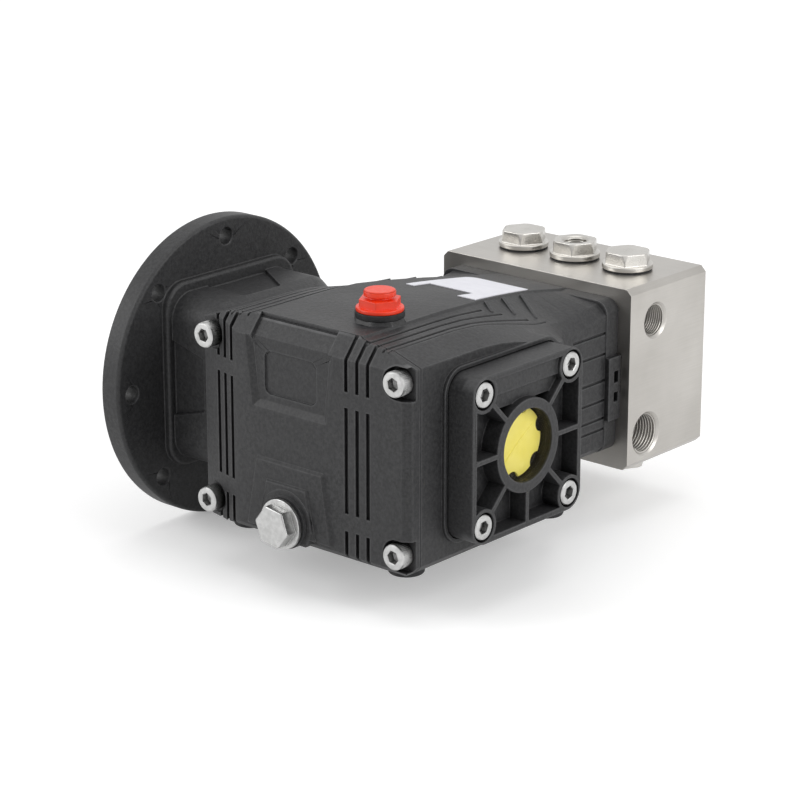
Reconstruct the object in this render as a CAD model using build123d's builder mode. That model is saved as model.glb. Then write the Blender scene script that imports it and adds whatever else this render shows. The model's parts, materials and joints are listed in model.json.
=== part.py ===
"""Triplex plunger pump for a pressure washer, as an assembly of separate pieces.

Millimetres. The origin is the centre of the motor flange's mating face, on the crank axis.
+X runs along the crankshaft, away from the motor; +Y points to the manifold; +Z is up.
"""
from build123d import *
import math
import os

os.makedirs("parts", exist_ok=True)

# ---------------------------------------------------------------- driving dimensions
# plunger row
PLUNGER_PITCH = 35.0
PLUNGER_R = 9.0
THROW = 6.0               # crank throw, half the stroke
ROD_LENGTH = 50.0         # crank pin to wrist pin
RUN_GAP = 0.05            # radial running clearance
END_GAP = 0.5             # clearance past a moving piece's end

# motor flange and its neck
FLANGE_R = 80.0
FLANGE_T = 12.0
BOLT_CIRCLE_R = 70.0
BOLT_COUNT = 8
BOLT_HOLE_R = 4.5
PILOT_R = 55.0
PILOT_DEPTH = 5.0
NECK_END = 56.75          # joint between neck and crankcase
COLLAR = (95.0, 99.0, 14.0)      # along Y, along Z, corner radius
COLLAR_Z = 3.5            # height of its middle
COLLAR_T = 4.0
NECK = (89.0, 89.5, 14.0)
NECK_Z = 2.75
NECK_WALL = 6.0
NECK_HOLLOW_CORNER_R = 6.0
NECK_END_T = 11.0
NECK_JOINT = (86.0, 83.5, 20.0)  # where it meets the crankcase
NECK_JOINT_Z = 0.75
NECK_TAPER_L = 14.0       # length over which it narrows to the joint
HOUSING_SCREW_YZ = (33.0, 30.0)
SHAFT_SEAL_R = 30.0
SHAFT_SEAL_W = 8.0

# crankcase
CASE_END_ROOM = 35.25     # outer plunger to the case's side
CASE_REAR_Y = -59.5
CASE_TOP = 57.7
CASE_BOTTOM = -54.0
SHOULDER_FALL = 3.4       # from the flat top down to the shoulder's edge
SHOULDER_DROP = 5.2
PANEL_HALF_W = 33.25      # flat top, at the rear
PANEL_FRONT_HALF_W = 22.0
PANEL_TAPER = (104.0, 34.0)       # where it narrows, behind the manifold joint
CHAMBER_HALF_H = 45.0
FRONT_TOP = 43.2
FRONT_SHOULDER = 38.5
FRONT_BOTTOM = -38.3
FRONT_FLANGE_T = 10.0
FRONT_WALL = 18.0         # oil seals to the manifold joint
BAND = (3.0, 34.0, -3.4)  # widened middle of the front flange: how far out, height, centre
VENTS = ((-0.4, 5.8), (-10.7, -5.6))      # openings in the band, from and to height
FLANK_GROOVE_Z = (27.0, 16.0, 1.7, -9.0, -18.7, -24.5)
FOOT_R = 9.0
FOOT_H = 6.0
FOOT_INSET = 18.25
FOOT_BACK = 54.0          # front feet, behind the manifold joint

# rear cover
COVER_T = 8.5
GASKET_T = 0.6
REAR_SCREW_INSET = 8.05
REAR_SCREW_RISE = (10.0, 15.7)    # over the case's bottom, under its top
STYLE_DX = -6.5           # middle of the rear cover's styling, from the middle plunger

# socket head cap screws: thread radius, head radius, head height, hole radius, key
M8_R = 4.0
M8_HEAD_R = 6.5
M8_HEAD_H = 8.0
M8_CLEAR_R = 4.4
M8_KEY = 6.0
M8 = (M8_R, M8_HEAD_R, M8_HEAD_H, M8_KEY)
M6_R = 3.0
M6_HEAD_R = 5.0
M6_HEAD_H = 6.0
M6_CLEAR_R = 3.3
M6_KEY = 5.0
M6 = (M6_R, M6_HEAD_R, M6_HEAD_H, M6_KEY)
POCKET_R = 8.0

# side cover and sight glass
SIDE_T = 17.25
SIDE_SIZE = 84.0
SIDE_CORNER_R = 10.0
SIDE_SCREW_INSET = 8.8
SIDE_FLOOR_T = 7.0
SPIGOT_R = 38.0
GLASS_R = 18.5
GLASS_RING_R = 23.75

# bearings: inner radius, outer radius, width
SHAFT_BORE_R = 14.0
SHAFT_BORE_L = 60.0
SHAFT_END_X = 8.0
SHAFT_WALL = 6.0
KEYWAY_W = 8.0
KEYWAY_DEPTH = 3.3
DRIVE_BEARING = (SHAFT_BORE_R + SHAFT_WALL, 40.0, 18.0)
TAIL_BEARING = (15.0, 31.0, 16.0)
RACE_T = 5.0
BEARING_SETBACK = 1.0     # drive bearing's race to the crank chamber
PIN_R = 15.0              # crank pins
ROD_W = 16.0

# manifold
BLOCK_DEPTH = 66.0
BLOCK_HEIGHT = 98.0
BLOCK_CHAMFER = 3.0
BLOCK_END_ROOM = 13.7     # outer screws to the block's ends
VALVE_BORE_R = 10.5
VALVE_DY = 34.0           # valves, in front of the manifold joint
OUTLET_DY, OUTLET_Z = 21.7, 28.7
INLET_DY, INLET_Z = 16.0, -32.0
OUTLET_PORT_R = 8.33      # G3/8
INLET_PORT_R = 10.48      # G1/2
GAUGE_PORT_R = 6.58       # G1/4
PORT_DEPTH = 15.0
GAUGE_PORT_DEPTH = 12.0
GAUGE_BORE_R = 2.0
PORT_CHAMFER = 1.5
GAUGE_CHAMFER = 1.0
PACKING_T = 5.0
PACKING_DEPTH = 20.0
CHAMBER_DY = 46.0         # end of the pump chambers, in front of the manifold joint
CAP_FLANGE_H = 2.5
CAP_HEX = 22.0
CAP_HEX_H = 6.5

# oil filler and drain
FILLER_DX, FILLER_Y = 21.0, -33.0
FILLER_HOLE_R = 9.0
DRAIN_RISE = 11.7         # over the case's bottom
DRAIN_THREAD_R = 6.5

# ---------------------------------------------------------------- derived values
# across the plungers
CASE_HALF_W = PLUNGER_PITCH + CASE_END_ROOM
CASE_X0 = NECK_END
X_MID = CASE_X0 + CASE_HALF_W
CASE_X1 = X_MID + CASE_HALF_W
SIDE_FACE_X = CASE_X1 + SIDE_T
PLUNGER_X = [X_MID + k * PLUNGER_PITCH for k in (-1, 0, 1)]
PHASE = [math.radians(a) for a in (0, 120, 240)]
STYLE_X = X_MID + STYLE_DX
CHAMBER_X0 = CASE_X0 + DRIVE_BEARING[2] + 2 * BEARING_SETBACK
CHAMBER_X1 = CASE_X1 - TAIL_BEARING[2] - 1.5
CHAMBER_X_MID = (CHAMBER_X0 + CHAMBER_X1) / 2
CHAMBER_W = CHAMBER_X1 - CHAMBER_X0
OUTER_SCREW_DX = PLUNGER_PITCH + VALVE_BORE_R + M6_CLEAR_R + 0.5
FRONT_HALF_W = OUTER_SCREW_DX + M6_R + 2.2
BLOCK_HALF_W = OUTER_SCREW_DX + BLOCK_END_ROOM
BLOCK_X0 = X_MID - BLOCK_HALF_W
BLOCK_X1 = X_MID + BLOCK_HALF_W

# along the plungers, from the crank to the end of the manifold
SMALL_END_R = 5.5
CAVITY_W = 16.0
CAVITY_HALF_H = SMALL_END_R + THROW + 0.3
HEAD_T = 6.0              # solid front end of a crosshead
CROSSHEAD_R = math.hypot(CAVITY_W / 2, CAVITY_HALF_H) + 1.25
CROSSHEAD_TAIL = 10.0     # behind the wrist pin
CROSSHEAD_NOSE = SMALL_END_R + 2 * THROW + END_GAP + HEAD_T
GUIDE_Y0 = ROD_LENGTH - CROSSHEAD_TAIL - THROW - END_GAP
GUIDE_Y1 = ROD_LENGTH + CROSSHEAD_NOSE + THROW + 2.0
SEAL_W = 8.0
SEAL_Y0 = GUIDE_Y1 + 6.0
SEAL_Y1 = SEAL_Y0 + SEAL_W
FRONT_Y = SEAL_Y1 + FRONT_WALL    # joint between crankcase and manifold
BLOCK_Y1 = FRONT_Y + BLOCK_DEPTH
VALVE_Y = FRONT_Y + VALVE_DY
OUTLET_Y = FRONT_Y + OUTLET_DY
INLET_Y = FRONT_Y + INLET_DY
CHAMBER_END = FRONT_Y + CHAMBER_DY
COVER_Y = CASE_REAR_Y - GASKET_T
FACE_Y = COVER_Y - COVER_T
FOOT_Y = (CASE_REAR_Y + FOOT_R + 1.5, FRONT_Y - FOOT_BACK)

# heights, and what fits around the plungers and valves
SHOULDER_TOP = CASE_TOP - SHOULDER_FALL
BLOCK_TOP = BLOCK_HEIGHT / 2
REAR_SCREW_Z = (CASE_BOTTOM + REAR_SCREW_RISE[0], CASE_TOP - REAR_SCREW_RISE[1])
FILLER_XY = (X_MID + FILLER_DX, FILLER_Y)
PACKING_R = PLUNGER_R + PACKING_T
CHAMBER_R = PLUNGER_R + 1.5
PASSAGE_R = PLUNGER_R + 3.0
CAP_FLANGE_R = VALVE_BORE_R + 3.0

# centres of screws and plungers on the faces that they cross
SIDE_SCREW = SIDE_SIZE / 2 - SIDE_SCREW_INSET
SIDE_POINTS = [(a * SIDE_SCREW, b * SIDE_SCREW) for a in (-1, 1) for b in (-1, 1)]
HOUSING_POINTS = [(a * HOUSING_SCREW_YZ[0], b * HOUSING_SCREW_YZ[1]) for a in (-1, 1) for b in (-1, 1)]
PLUNGER_CENTRES = [(x, 0) for x in PLUNGER_X]
REAR_SCREW_DX = CASE_HALF_W - REAR_SCREW_INSET
REAR_SCREWS = [(X_MID + s * REAR_SCREW_DX, z) for s in (-1, 1) for z in REAR_SCREW_Z]
MANIFOLD_SCREWS = [(X_MID + side * dx, z) for dx, height in
                   ((PLUNGER_PITCH / 2, 18.5), (OUTER_SCREW_DX, 15.0))
                   for side in (-1, 1) for z in (height, -height)]


def across_x(x):
    """Plane square to the crank axis: its x is +Y, its y is +Z, and it faces +X."""
    return Plane.YZ.offset(x)


def across_y(y):
    """Plane square to the plungers: its x is +X, its y is +Z, and it faces -Y."""
    return Plane.XZ.offset(-y)


def ease(value, start, end):
    """Smooth step from 0 at start to 1 at end."""
    t = min(max((value - start) / (end - start), 0.0), 1.0)
    return t * t * (3.0 - 2.0 * t)


def save(part, name):
    """Labels a finished piece and writes it."""
    part.part.label = name
    export_step(part.part, f"parts/{name}.step")


# ---------------------------------------------------------------- motor flange and neck
PANEL_SINK = 1.6
PANEL_X0 = FLANGE_T + COLLAR_T
TAPER_X = NECK_END - NECK_TAPER_L
with BuildPart() as motor_flange_housing:
    with BuildSketch(across_x(0)):
        Circle(FLANGE_R)
    extrude(amount=FLANGE_T)
    chamfer(motor_flange_housing.edges().group_by(Axis.X)[-1], 1.2)
    with BuildSketch(across_x(FLANGE_T)):
        with Locations((0, COLLAR_Z)):
            RectangleRounded(*COLLAR)
    extrude(amount=COLLAR_T)
    fillet(motor_flange_housing.faces().sort_by(Axis.X)[-1].edges(), 1.8)
    with BuildSketch(across_x(FLANGE_T)):
        with Locations((0, NECK_Z)):
            RectangleRounded(*NECK)
    extrude(amount=TAPER_X - FLANGE_T)
    with BuildSketch(across_x(TAPER_X)):
        with Locations((0, NECK_Z)):
            RectangleRounded(*NECK)
    with BuildSketch(across_x(NECK_END)):
        with Locations((0, NECK_JOINT_Z)):
            RectangleRounded(*NECK_JOINT)
    loft()
    # pilot recess, hollow neck and the hole for the shaft
    with BuildSketch(across_x(0)):
        Circle(PILOT_R)
    extrude(amount=PILOT_DEPTH, mode=Mode.SUBTRACT)
    with BuildSketch(across_x(PILOT_DEPTH)):
        with Locations((0, NECK_Z)):
            RectangleRounded(NECK[0] - 2 * NECK_WALL, NECK[1] - 2 * NECK_WALL, NECK_HOLLOW_CORNER_R)
    extrude(amount=NECK_END - NECK_END_T - PILOT_DEPTH, mode=Mode.SUBTRACT)
    with BuildSketch(across_x(NECK_END - NECK_END_T)):
        Circle(SHAFT_SEAL_R)
    extrude(amount=NECK_END_T, mode=Mode.SUBTRACT)
    with BuildSketch(across_x(0)):
        with PolarLocations(BOLT_CIRCLE_R, BOLT_COUNT):
            Circle(BOLT_HOLE_R)
    extrude(amount=FLANGE_T, mode=Mode.SUBTRACT)
    # clearance holes for the screws into the crankcase
    with BuildSketch(across_x(NECK_END - NECK_END_T)):
        with Locations(*HOUSING_POINTS):
            Circle(M6_CLEAR_R)
    extrude(amount=NECK_END_T, mode=Mode.SUBTRACT)
    # sunk styling panels on the two sides and the top
    for side in (-1, 1):
        with BuildSketch(across_y(side * (NECK[0] / 2 - PANEL_SINK))):
            Polygon((PANEL_X0, 24), (TAPER_X - 5, 18), (TAPER_X - 5, -10), (PANEL_X0, -16), align=None)
        extrude(amount=-side * 2 * PANEL_SINK, mode=Mode.SUBTRACT)
    with BuildSketch(Plane.XY.offset(NECK_Z + NECK[1] / 2 - PANEL_SINK)):
        Polygon((PANEL_X0, -18), (TAPER_X, -18), (TAPER_X, 8), (PANEL_X0, 25), align=None)
    extrude(amount=2 * PANEL_SINK, mode=Mode.SUBTRACT)
save(motor_flange_housing, "motor_flange_housing")


# ---------------------------------------------------------------- crankcase
REAR_SLOPE_W = 15.75
FRONT_SLOPE_W = 6.0
TOP_FALL_POWER = 1.35     # how the top's fall to the front speeds up
FRONT_SHOULDER_RISE = 3.0


def case_section(y):
    """Heights and widths of the crankcase outline at y: panel, top, shoulder, half, slope, bottom."""
    taper = min(max((y - FRONT_Y + PANEL_TAPER[0]) / (PANEL_TAPER[0] - PANEL_TAPER[1]), 0.0), 1.0)
    panel = PANEL_HALF_W - (PANEL_HALF_W - PANEL_FRONT_HALF_W) * taper
    narrowing = ease(y, FRONT_Y - 68, FRONT_Y - 44)
    fall = max(y - 2, 0.0) / (FRONT_Y - 2)
    top = CASE_TOP - (CASE_TOP - FRONT_TOP) * fall ** TOP_FALL_POWER
    shoulder = SHOULDER_TOP - (SHOULDER_TOP - FRONT_SHOULDER) * ease(y, -15, FRONT_Y - 32)
    shoulder += FRONT_SHOULDER_RISE * ease(y, FRONT_Y - 28, FRONT_Y - FRONT_FLANGE_T)
    half = CASE_HALF_W - (CASE_HALF_W - FRONT_HALF_W) * narrowing
    slope_w = REAR_SLOPE_W - (REAR_SLOPE_W - FRONT_SLOPE_W) * narrowing
    bottom = CASE_BOTTOM + (FRONT_BOTTOM - CASE_BOTTOM) * ease(y, FRONT_Y - 48, FRONT_Y - 38)
    return panel, top, shoulder, half, slope_w, bottom


# grooves along each shoulder: share of its width, width, depth, end behind the manifold joint
SHOULDER_GROOVES = ((0.24, 1.6, 1.5, 90.0), (0.5, 1.6, 1.5, 80.0), (0.76, 1.6, 1.5, 66.0),
                    (0.92, 0.8, 0.7, 52.0))
TOP_STEP = 1.2            # step down beside the flat top
BOTTOM_CHAMFER = 4.0


def shoulder_z(dx, y):
    """Height of the shoulder at y, dx away from the middle plunger."""
    panel, top, shoulder, half, slope_w, _ = case_section(y)
    share = (dx - panel - TOP_STEP) / (half - slope_w - panel - TOP_STEP)
    return top - TOP_STEP + (shoulder - top + TOP_STEP) * share


def case_points(y, y_from):
    """Closed outline of the crankcase at y, with the shoulder grooves that pass y_from."""
    panel, top, shoulder, half, slope_w, bottom = case_section(y)
    inner, outer = panel + TOP_STEP, half - slope_w
    half_points = [(panel, top), (inner, top - TOP_STEP)]
    for share, width, depth, end in SHOULDER_GROOVES:
        if y_from < FRONT_Y - end - 0.01:
            for offset, sink in ((-1, 0), (-0.6, depth), (0.6, depth), (1, 0)):
                x = inner + share * (outer - inner) + offset * width / 2
                half_points.append((x, shoulder_z(x, y) - sink))
    half_points += [(outer, shoulder), (half, shoulder - SHOULDER_DROP), (half, bottom + BOTTOM_CHAMFER),
                    (half - BOTTOM_CHAMFER, bottom)]
    right = [(X_MID + x, z) for x, z in half_points]
    left = [(X_MID - x, z) for x, z in reversed(half_points)]
    return right + left


# sections that the outline is lofted through
STATIONS = [CASE_REAR_Y, -15, 0] + [FRONT_Y - back for back in (104, 90, 80, 72, 66, 60, 52, 44, 38, 30,
                                                                 22, 16, FRONT_FLANGE_T, 0)]
MANIFOLD_THREAD_L = 18.0
REAR_THREAD_L = 18.0
SIDE_THREAD_L = 15.0
HOUSING_THREAD_L = 14.0
FRAME_DEPTH, FRAME_W, FRAME_H = 14.0, 2.5, 2.0
COVER_SEAT_GAP = 0.3
CHAMBER_CORNER_R = 6.0
FILLER_BOSS_H = 3.0
FILLER_SEAT_Z = CASE_TOP + 2.0
FILLER_BOSS_R = 13.8
# ribs on each shoulder, from the flat top outwards: (dx, behind the manifold joint) of both ends
SHOULDER_RIBS = (((31.5, 79.5), (40.5, 85.0)), ((28.8, 62.5), (43.2, 70.5)), ((26.1, 44.5), (45.7, 56.5)))
RIB_T = 1.8
RIB_RISE = (1.5, 0.7)     # over the shoulder, at the inner and the outer end
RIB_ROOT = 4.0
FLANK_GROOVE_W, FLANK_GROOVE_SINK = 1.3, 1.0
FLANK_GROOVE_BACK = 37.0
VENT_BACK = (5.5, 2.0)    # behind the manifold joint
VENT_DEPTH = 4.5

with BuildPart() as crankcase:
    for y0, y1 in zip(STATIONS, STATIONS[1:]):
        for y in (y0, y1):
            with BuildSketch(across_y(y)):
                Polygon(*case_points(y, y0), align=None)
        loft(ruled=True)
    for side in (-1, 1):
        for (dx0, back0), (dx1, back1) in SHOULDER_RIBS:
            y0, y1 = FRONT_Y - back0, FRONT_Y - back1
            run = math.hypot(dx1 - dx0, y1 - y0)
            along = Vector(side * (dx1 - dx0) / run, (y1 - y0) / run, 0)
            rib = Plane(origin=(X_MID + side * dx0, y0, 0), x_dir=along, z_dir=along.cross(Vector(0, 0, 1)))
            z0, z1 = shoulder_z(dx0, y0), shoulder_z(dx1, y1)
            with BuildSketch(rib):
                Polygon((0, z0 - RIB_ROOT), (run, z1 - RIB_ROOT), (run, z1 + RIB_RISE[1]),
                        (0, z0 + RIB_RISE[0]), align=None)
            extrude(amount=RIB_T / 2, both=True)
    # flange that carries the manifold
    with BuildSketch(across_y(FRONT_Y - FRONT_FLANGE_T)):
        with Locations((X_MID, (FRONT_TOP + FRONT_BOTTOM) / 2 - 0.3)):
            RectangleRounded(2 * FRONT_HALF_W + 1.4, FRONT_TOP - FRONT_BOTTOM + 0.6, 7)
        with Locations((X_MID, BAND[2])):
            Rectangle(2 * (FRONT_HALF_W + BAND[0]), BAND[1])
    extrude(amount=-FRONT_FLANGE_T)
    # grooves along the narrow flanks, and vents in the flange's band
    for side in (-1, 1):
        with BuildSketch(across_x(X_MID + side * (FRONT_HALF_W - FLANK_GROOVE_SINK))):
            for z in FLANK_GROOVE_Z:
                with Locations((FRONT_Y - (FLANK_GROOVE_BACK + FRONT_FLANGE_T) / 2, z)):
                    Rectangle(FLANK_GROOVE_BACK - FRONT_FLANGE_T, FLANK_GROOVE_W)
        extrude(amount=side * 2 * FLANK_GROOVE_SINK, mode=Mode.SUBTRACT)
        with BuildSketch(across_x(X_MID + side * (FRONT_HALF_W + BAND[0]))):
            for z0, z1 in VENTS:
                with Locations((FRONT_Y - (VENT_BACK[0] + VENT_BACK[1]) / 2, (z0 + z1) / 2)):
                    Rectangle(VENT_BACK[0] - VENT_BACK[1], z1 - z0)
        extrude(amount=-side * VENT_DEPTH, mode=Mode.SUBTRACT)
    # seat and raised frame around the side cover
    with BuildSketch(across_x(CASE_X1 - FRAME_DEPTH)):
        RectangleRounded(SIDE_SIZE + 2 * FRAME_W, SIDE_SIZE + 2 * FRAME_W, SIDE_CORNER_R + FRAME_W)
    extrude(amount=FRAME_DEPTH + FRAME_H)
    with BuildSketch(across_x(CASE_X1)):
        seat = SIDE_SIZE + 2 * COVER_SEAT_GAP
        RectangleRounded(seat, seat, SIDE_CORNER_R)
    extrude(amount=FRAME_H, mode=Mode.SUBTRACT)
    # filler neck
    with BuildSketch(Plane.XY.offset(FILLER_SEAT_Z - FILLER_BOSS_H)):
        with Locations(FILLER_XY):
            RegularPolygon(FILLER_BOSS_R, 8, rotation=22.5)
    extrude(amount=FILLER_BOSS_H, taper=25)
    # crank chamber and the openings for the drive bearing and the side cover
    with BuildSketch(across_y(CASE_REAR_Y)):
        with Locations((CHAMBER_X_MID, 0)):
            RectangleRounded(CHAMBER_W, 2 * CHAMBER_HALF_H, CHAMBER_CORNER_R)
    extrude(amount=-(GUIDE_Y0 - CASE_REAR_Y), mode=Mode.SUBTRACT)
    with BuildSketch(across_x(CASE_X0)):
        Circle(DRIVE_BEARING[1])
    extrude(amount=CHAMBER_X0 - CASE_X0, mode=Mode.SUBTRACT)
    with BuildSketch(across_x(CHAMBER_X1)):
        Circle(SPIGOT_R)
    extrude(amount=CASE_X1 - CHAMBER_X1, mode=Mode.SUBTRACT)
    # crosshead guides, plunger passages and oil seal seats
    with BuildSketch(across_y(GUIDE_Y0)):
        with Locations(*PLUNGER_CENTRES):
            Circle(CROSSHEAD_R + RUN_GAP)
    extrude(amount=-(GUIDE_Y1 - GUIDE_Y0), mode=Mode.SUBTRACT)
    with BuildSketch(across_y(GUIDE_Y1)):
        with Locations(*PLUNGER_CENTRES):
            Circle(PASSAGE_R)
    extrude(amount=-(FRONT_Y - GUIDE_Y1), mode=Mode.SUBTRACT)
    with BuildSketch(across_y(SEAL_Y0)):
        with Locations(*PLUNGER_CENTRES):
            Circle(PACKING_R)
    extrude(amount=-(FRONT_Y - SEAL_Y0), mode=Mode.SUBTRACT)
    # tapped holes: manifold, rear cover, side cover, neck
    with BuildSketch(across_y(FRONT_Y)):
        with Locations(*MANIFOLD_SCREWS):
            Circle(M6_R)
    extrude(amount=MANIFOLD_THREAD_L, mode=Mode.SUBTRACT)
    with BuildSketch(across_y(CASE_REAR_Y)):
        with Locations(*REAR_SCREWS):
            Circle(M8_R)
    extrude(amount=-REAR_THREAD_L, mode=Mode.SUBTRACT)
    with BuildSketch(across_x(CASE_X1)):
        with Locations(*SIDE_POINTS):
            Circle(M8_R)
    extrude(amount=-SIDE_THREAD_L, mode=Mode.SUBTRACT)
    with BuildSketch(across_x(CASE_X0)):
        with Locations(*HOUSING_POINTS):
            Circle(M6_R)
    extrude(amount=HOUSING_THREAD_L, mode=Mode.SUBTRACT)
    # filler hole
    with BuildSketch(Plane.XY.offset(FILLER_SEAT_Z)):
        with Locations(FILLER_XY):
            Circle(FILLER_HOLE_R)
    extrude(amount=-(FILLER_SEAT_Z - CHAMBER_HALF_H + 1), mode=Mode.SUBTRACT)
save(crankcase, "crankcase")


# ---------------------------------------------------------------- rear cover
TOP_CREASE_Z = CASE_TOP - 10.2
LEFT_BEND_X = CASE_X0 + 29.25
LEFT_EDGE_DROP = 7.0
EDGE_BEVEL = 3.0
GROOVE_ROWS = ((CASE_BOTTOM - 6.0, CASE_BOTTOM + 15.0), (-30.0, 23.5))
TOP_GROOVE_Z = CASE_TOP - 26.2
SIDE_GROOVE_X = [CASE_X0 + d for d in (12.25, 18.15, 23.95)] + [CASE_X1 - d for d in (39.45, 32.45, 25.65)]
SIDE_GROOVE_W = 2.2
SIDE_GROOVE_DEPTH = 2.0
SCREW_SEAT_T = 2.9        # cover left under the screw heads
SCREW_SEAT_Y = COVER_Y - SCREW_SEAT_T
STYLE_FOOT_Z = CASE_BOTTOM + 4.0
UPPER_PANEL_W = (49.0, 58.0)      # bottom and top of the trapezoid
UPPER_PANEL_Z = (12.0, TOP_CREASE_Z + 0.5)
UPPER_PANEL_SINK = 2.2
TOP_NOTCH_W = 51.0
BOSS_ROOT = 0.5           # raised shapes start this far inside the face
DRAIN_XZ = (STYLE_X, CASE_BOTTOM + DRAIN_RISE)
DRAIN_BASE_R, DRAIN_BASE_H = 16.5, 3.8
DRAIN_BASE_FOOT_Z = CASE_BOTTOM + 1.5
DRAIN_BOSS_R, DRAIN_BOSS_H = 13.3, 5.0
LIP_H, LIP_W, LIP_GAP = 4.0, 3.7, 0.3


def face_y(x):
    """Rear cover's outer face at x: flat, but falling back towards the motor side."""
    share = max(LEFT_BEND_X - x, 0.0) / (LEFT_BEND_X - CASE_X0)
    return FACE_Y + LEFT_EDGE_DROP * share


def sunk_profile(y_face, depth, z_low):
    """Cut that follows the cover's face and its top slope, depth below both."""
    slope = (CASE_TOP - TOP_CREASE_Z) / COVER_T
    lift = depth * math.hypot(1, slope)
    return [(y_face - 2, z_low), (y_face + depth, z_low), (y_face + depth, TOP_CREASE_Z),
            (COVER_Y, CASE_TOP - lift + 1), (COVER_Y, CASE_TOP + 3), (y_face - 2, CASE_TOP + 3)]


def style_trapezoid(bottom, top, z_low, z_high):
    """Trapezoid on the middle of the styling, (left, right) reach at its bottom and top."""
    return Polygon((STYLE_X - bottom[0], z_low), (STYLE_X + bottom[1], z_low),
                   (STYLE_X + top[1], z_high), (STYLE_X - top[0], z_high), align=None)


with BuildPart() as rear_cover:
    with BuildSketch(across_y(COVER_Y)):
        Polygon(*case_points(CASE_REAR_Y, CASE_REAR_Y), align=None)
    extrude(amount=COVER_T)
    # plan outline, then the sloped top and the bottom bevel
    with BuildSketch(Plane.XY.offset(CASE_BOTTOM)):
        Polygon((CASE_X0, COVER_Y), (CASE_X0, face_y(CASE_X0)), (LEFT_BEND_X, FACE_Y),
                (CASE_X1 - EDGE_BEVEL - 1, FACE_Y), (CASE_X1, FACE_Y + EDGE_BEVEL), (CASE_X1, COVER_Y),
                align=None)
    extrude(amount=CASE_TOP - CASE_BOTTOM, mode=Mode.INTERSECT)
    with BuildSketch(across_x(CASE_X0)):
        Polygon((COVER_Y, CASE_BOTTOM), (COVER_Y, CASE_TOP), (FACE_Y, TOP_CREASE_Z),
                (FACE_Y, CASE_BOTTOM + EDGE_BEVEL), (FACE_Y + EDGE_BEVEL, CASE_BOTTOM), align=None)
    extrude(amount=2 * CASE_HALF_W, mode=Mode.INTERSECT)
    # sunk panel above: a trapezoid with bevelled sides that runs on over the top slope
    with BuildSketch(across_y(FACE_Y)):
        style_trapezoid([UPPER_PANEL_W[0] / 2] * 2, [UPPER_PANEL_W[1] / 2] * 2, *UPPER_PANEL_Z)
    extrude(amount=-UPPER_PANEL_SINK, taper=58, mode=Mode.SUBTRACT)
    with BuildSketch(across_x(STYLE_X - TOP_NOTCH_W / 2)):
        Polygon(*sunk_profile(FACE_Y, UPPER_PANEL_SINK, TOP_CREASE_Z - 3.5), align=None)
    extrude(amount=TOP_NOTCH_W, mode=Mode.SUBTRACT)
    with BuildSketch(across_y(FACE_Y + UPPER_PANEL_SINK)):
        with Locations((STYLE_X - 1, 30)):
            RectangleRounded(34, 22, 4)
    extrude(amount=-1.0, mode=Mode.SUBTRACT)
    # raised panel below, with the boss for the drain plug
    with BuildSketch(across_y(FACE_Y)):
        style_trapezoid((29, 29), (22, 23), STYLE_FOOT_Z, -13)
    extrude(amount=1.6, taper=40)
    with BuildSketch(across_y(FACE_Y + BOSS_ROOT)):
        style_trapezoid((21, 20), (15, 14), STYLE_FOOT_Z, -22)
    extrude(amount=3.4, taper=30)
    with BuildSketch(across_y(FACE_Y + BOSS_ROOT)):
        with Locations(DRAIN_XZ):
            Circle(DRAIN_BASE_R)
        with Locations((STYLE_X, DRAIN_BASE_FOOT_Z)):
            Rectangle(2 * DRAIN_BASE_R, DRAIN_BASE_R, align=(Align.CENTER, Align.MAX), mode=Mode.SUBTRACT)
    extrude(amount=DRAIN_BASE_H)
    with BuildSketch(across_y(FACE_Y + BOSS_ROOT)):
        with Locations(DRAIN_XZ):
            Circle(DRAIN_BOSS_R)
    extrude(amount=DRAIN_BOSS_H)
    # grooves in two groups: over the top slope, along the middle and at the bottom
    for x in SIDE_GROOVE_X:
        with BuildSketch(across_x(x - SIDE_GROOVE_W / 2)):
            Polygon(*sunk_profile(face_y(x), SIDE_GROOVE_DEPTH, TOP_GROOVE_Z), align=None)
            for z0, z1 in GROOVE_ROWS:
                with Locations((face_y(x), (z0 + z1) / 2)):
                    Rectangle(2 * SIDE_GROOVE_DEPTH, z1 - z0)
        extrude(amount=SIDE_GROOVE_W, mode=Mode.SUBTRACT)
    # open corner seats for the screws, and their holes
    with BuildSketch(across_y(SCREW_SEAT_Y)):
        with Locations(*REAR_SCREWS):
            Circle(POCKET_R)
        for z in REAR_SCREW_Z:
            for side in (-1, 1):
                with Locations((X_MID + side * (REAR_SCREW_DX + 6), z)):
                    Rectangle(12, 2 * POCKET_R)
    extrude(amount=COVER_T, mode=Mode.SUBTRACT)
    with BuildSketch(across_y(COVER_Y)):
        with Locations(*REAR_SCREWS):
            Circle(M8_CLEAR_R)
    extrude(amount=COVER_T, mode=Mode.SUBTRACT)
    # lip that centres the cover in the crank chamber
    with BuildSketch(across_y(COVER_Y)):
        with Locations((CHAMBER_X_MID, 0)):
            for inset, mode in ((LIP_GAP, Mode.ADD), (LIP_GAP + LIP_W, Mode.SUBTRACT)):
                RectangleRounded(CHAMBER_W - 2 * inset, 2 * (CHAMBER_HALF_H - inset),
                                 CHAMBER_CORNER_R - inset, mode=mode)
    extrude(amount=-LIP_H)
    # tapped hole for the drain plug
    with BuildSketch(across_y(COVER_Y)):
        with Locations(DRAIN_XZ):
            Circle(DRAIN_THREAD_R)
    extrude(amount=16, both=True, mode=Mode.SUBTRACT)
save(rear_cover, "rear_cover")

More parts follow.
